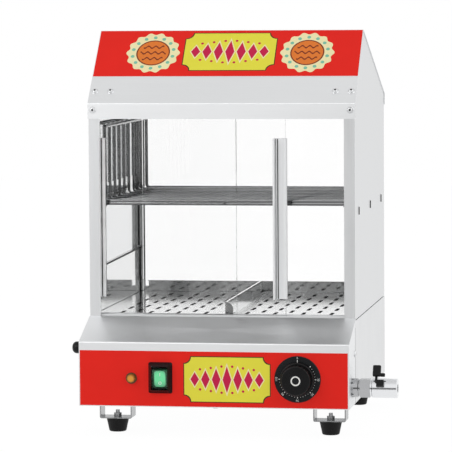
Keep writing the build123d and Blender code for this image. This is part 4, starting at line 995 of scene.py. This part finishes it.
class STEAMER_OT_studio(bpy.types.Operator):
    """Add the floor, the lights and the camera"""
    bl_idname = "steamer.studio"
    bl_label = "Studio"

    def execute(self, context):
        settings = context.scene.steamer_studio
        half = settings.floor_half
        mesh = bpy.data.meshes.new("floor")
        mesh.from_pydata([(-half, -half, 0), (half, -half, 0), (half, half, 0), (-half, half, 0)], [],
                         [(0, 1, 2, 3)])
        mesh.materials.append(studio_paper("studio_paper", "#EDEDED", 0.93))
        floor = bpy.data.objects.new("floor", mesh)
        context.scene.collection.objects.link(floor)
        self.light_world(context, settings.ambient)
        self.add_softbox("key", KEY_PLACE, KEY_SIZE, settings.key)
        self.add_softbox("fill", FILL_PLACE, FILL_SIZE, settings.fill)
        self.place_camera(context)
        context.scene.view_settings.view_transform = "Standard"
        return {"FINISHED"}

    def light_world(self, context, ambient):
        """Even light all round, and white where it is seen."""
        world = bpy.data.worlds.new("studio")
        context.scene.world = world
        world.use_nodes = True
        tree = world.node_tree
        tree.nodes.clear()
        seen, mirrored = seen_rays(tree)
        sight = add_node(tree, "TexCoord").outputs["Generated"]
        lit = ceiling(tree, through_glass(tree, flagged(tree, mirrored, sight)), sight)
        lamp = add_node(tree, "Background", {"Color": (1.0, 1.0, 1.0, 1.0), "Strength": ambient})
        white = add_node(tree, "Background", {"Color": (1.0, 1.0, 1.0, 1.0), "Strength": lit})
        mixed = add_node(tree, "MixShader", {0: seen, 1: lamp.outputs[0], 2: white.outputs[0]})
        add_node(tree, "OutputWorld", {"Surface": mixed.outputs[0]})

    def add_softbox(self, name, place, size, power):
        """A square softbox that faces the cabinet."""
        lamp = bpy.data.lights.new(name, "AREA")
        lamp.size = size
        lamp.energy = power
        box = bpy.data.objects.new(name, lamp)
        box.location = place
        aim = Vector(LIGHT_AIM) - Vector(place)
        box.rotation_euler = aim.to_track_quat("-Z", "Y").to_euler()
        bpy.context.scene.collection.objects.link(box)

    def place_camera(self, context):
        """A long lens, turned about the point that it aims at."""
        lens = bpy.data.cameras.new("camera")
        lens.sensor_width = FILM_GATE
        lens.lens = FOCUS / PICTURE_SIDE * FILM_GATE
        lens.clip_end = 100.0
        back = Vector((math.sin(CAMERA_YAW) * math.cos(CAMERA_PITCH),
                       -math.cos(CAMERA_YAW) * math.cos(CAMERA_PITCH), math.sin(CAMERA_PITCH)))
        level = Vector((math.cos(CAMERA_YAW), math.sin(CAMERA_YAW), 0.0))
        upright = back.cross(level)
        right = level * math.cos(CAMERA_ROLL) + upright * math.sin(CAMERA_ROLL)
        up = back.cross(right)
        camera = bpy.data.objects.new("camera", lens)
        camera.matrix_world = Matrix((right, up, back)).transposed().to_4x4()
        camera.location = Vector(to_frame(CAMERA_AIM)) + back * CAMERA_DISTANCE
        context.scene.collection.objects.link(camera)
        context.scene.camera = camera


class STEAMER_PT_panel(bpy.types.Panel):
    """Lists the steamer's steps"""
    bl_idname = "STEAMER_PT_panel"
    bl_label = "Hot dog steamer"
    bl_space_type = "VIEW_3D"
    bl_region_type = "UI"
    bl_category = "Steamer"

    def draw(self, context):
        for operator in OPERATORS:
            self.layout.operator(operator.bl_idname)
        for group in SETTINGS:
            for field in getattr(context.scene, group).bl_rna.properties:
                if field.identifier not in ("rna_type", "name"):
                    self.layout.prop(getattr(context.scene, group), field.identifier)


OPERATORS = (STEAMER_OT_sheet_metal, STEAMER_OT_fittings, STEAMER_OT_glazing, STEAMER_OT_plastics,
             STEAMER_OT_printed_films, STEAMER_OT_markings, STEAMER_OT_studio)
SETTINGS = {"steamer_inks": SteamerInks, "steamer_metals": SteamerMetals, "steamer_studio": SteamerStudio}


def register():
    """Add the settings, the steps and the panel to Blender."""
    for settings in SETTINGS.values():
        bpy.utils.register_class(settings)
    for name, settings in SETTINGS.items():
        setattr(bpy.types.Scene, name, bpy.props.PointerProperty(type=settings))
    for operator in OPERATORS:
        bpy.utils.register_class(operator)
    bpy.utils.register_class(STEAMER_PT_panel)


def unregister():
    """Take away what register added."""
    bpy.utils.unregister_class(STEAMER_PT_panel)
    for operator in reversed(OPERATORS):
        bpy.utils.unregister_class(operator)
    for name in SETTINGS:
        delattr(bpy.types.Scene, name)
    for settings in reversed(SETTINGS.values()):
        bpy.utils.unregister_class(settings)


def main():
    """Run every step."""
    register()
    for operator in OPERATORS:
        group, name = operator.bl_idname.split(".")
        getattr(getattr(bpy.ops, group), name)()


if __name__ == "__main__":
    main()
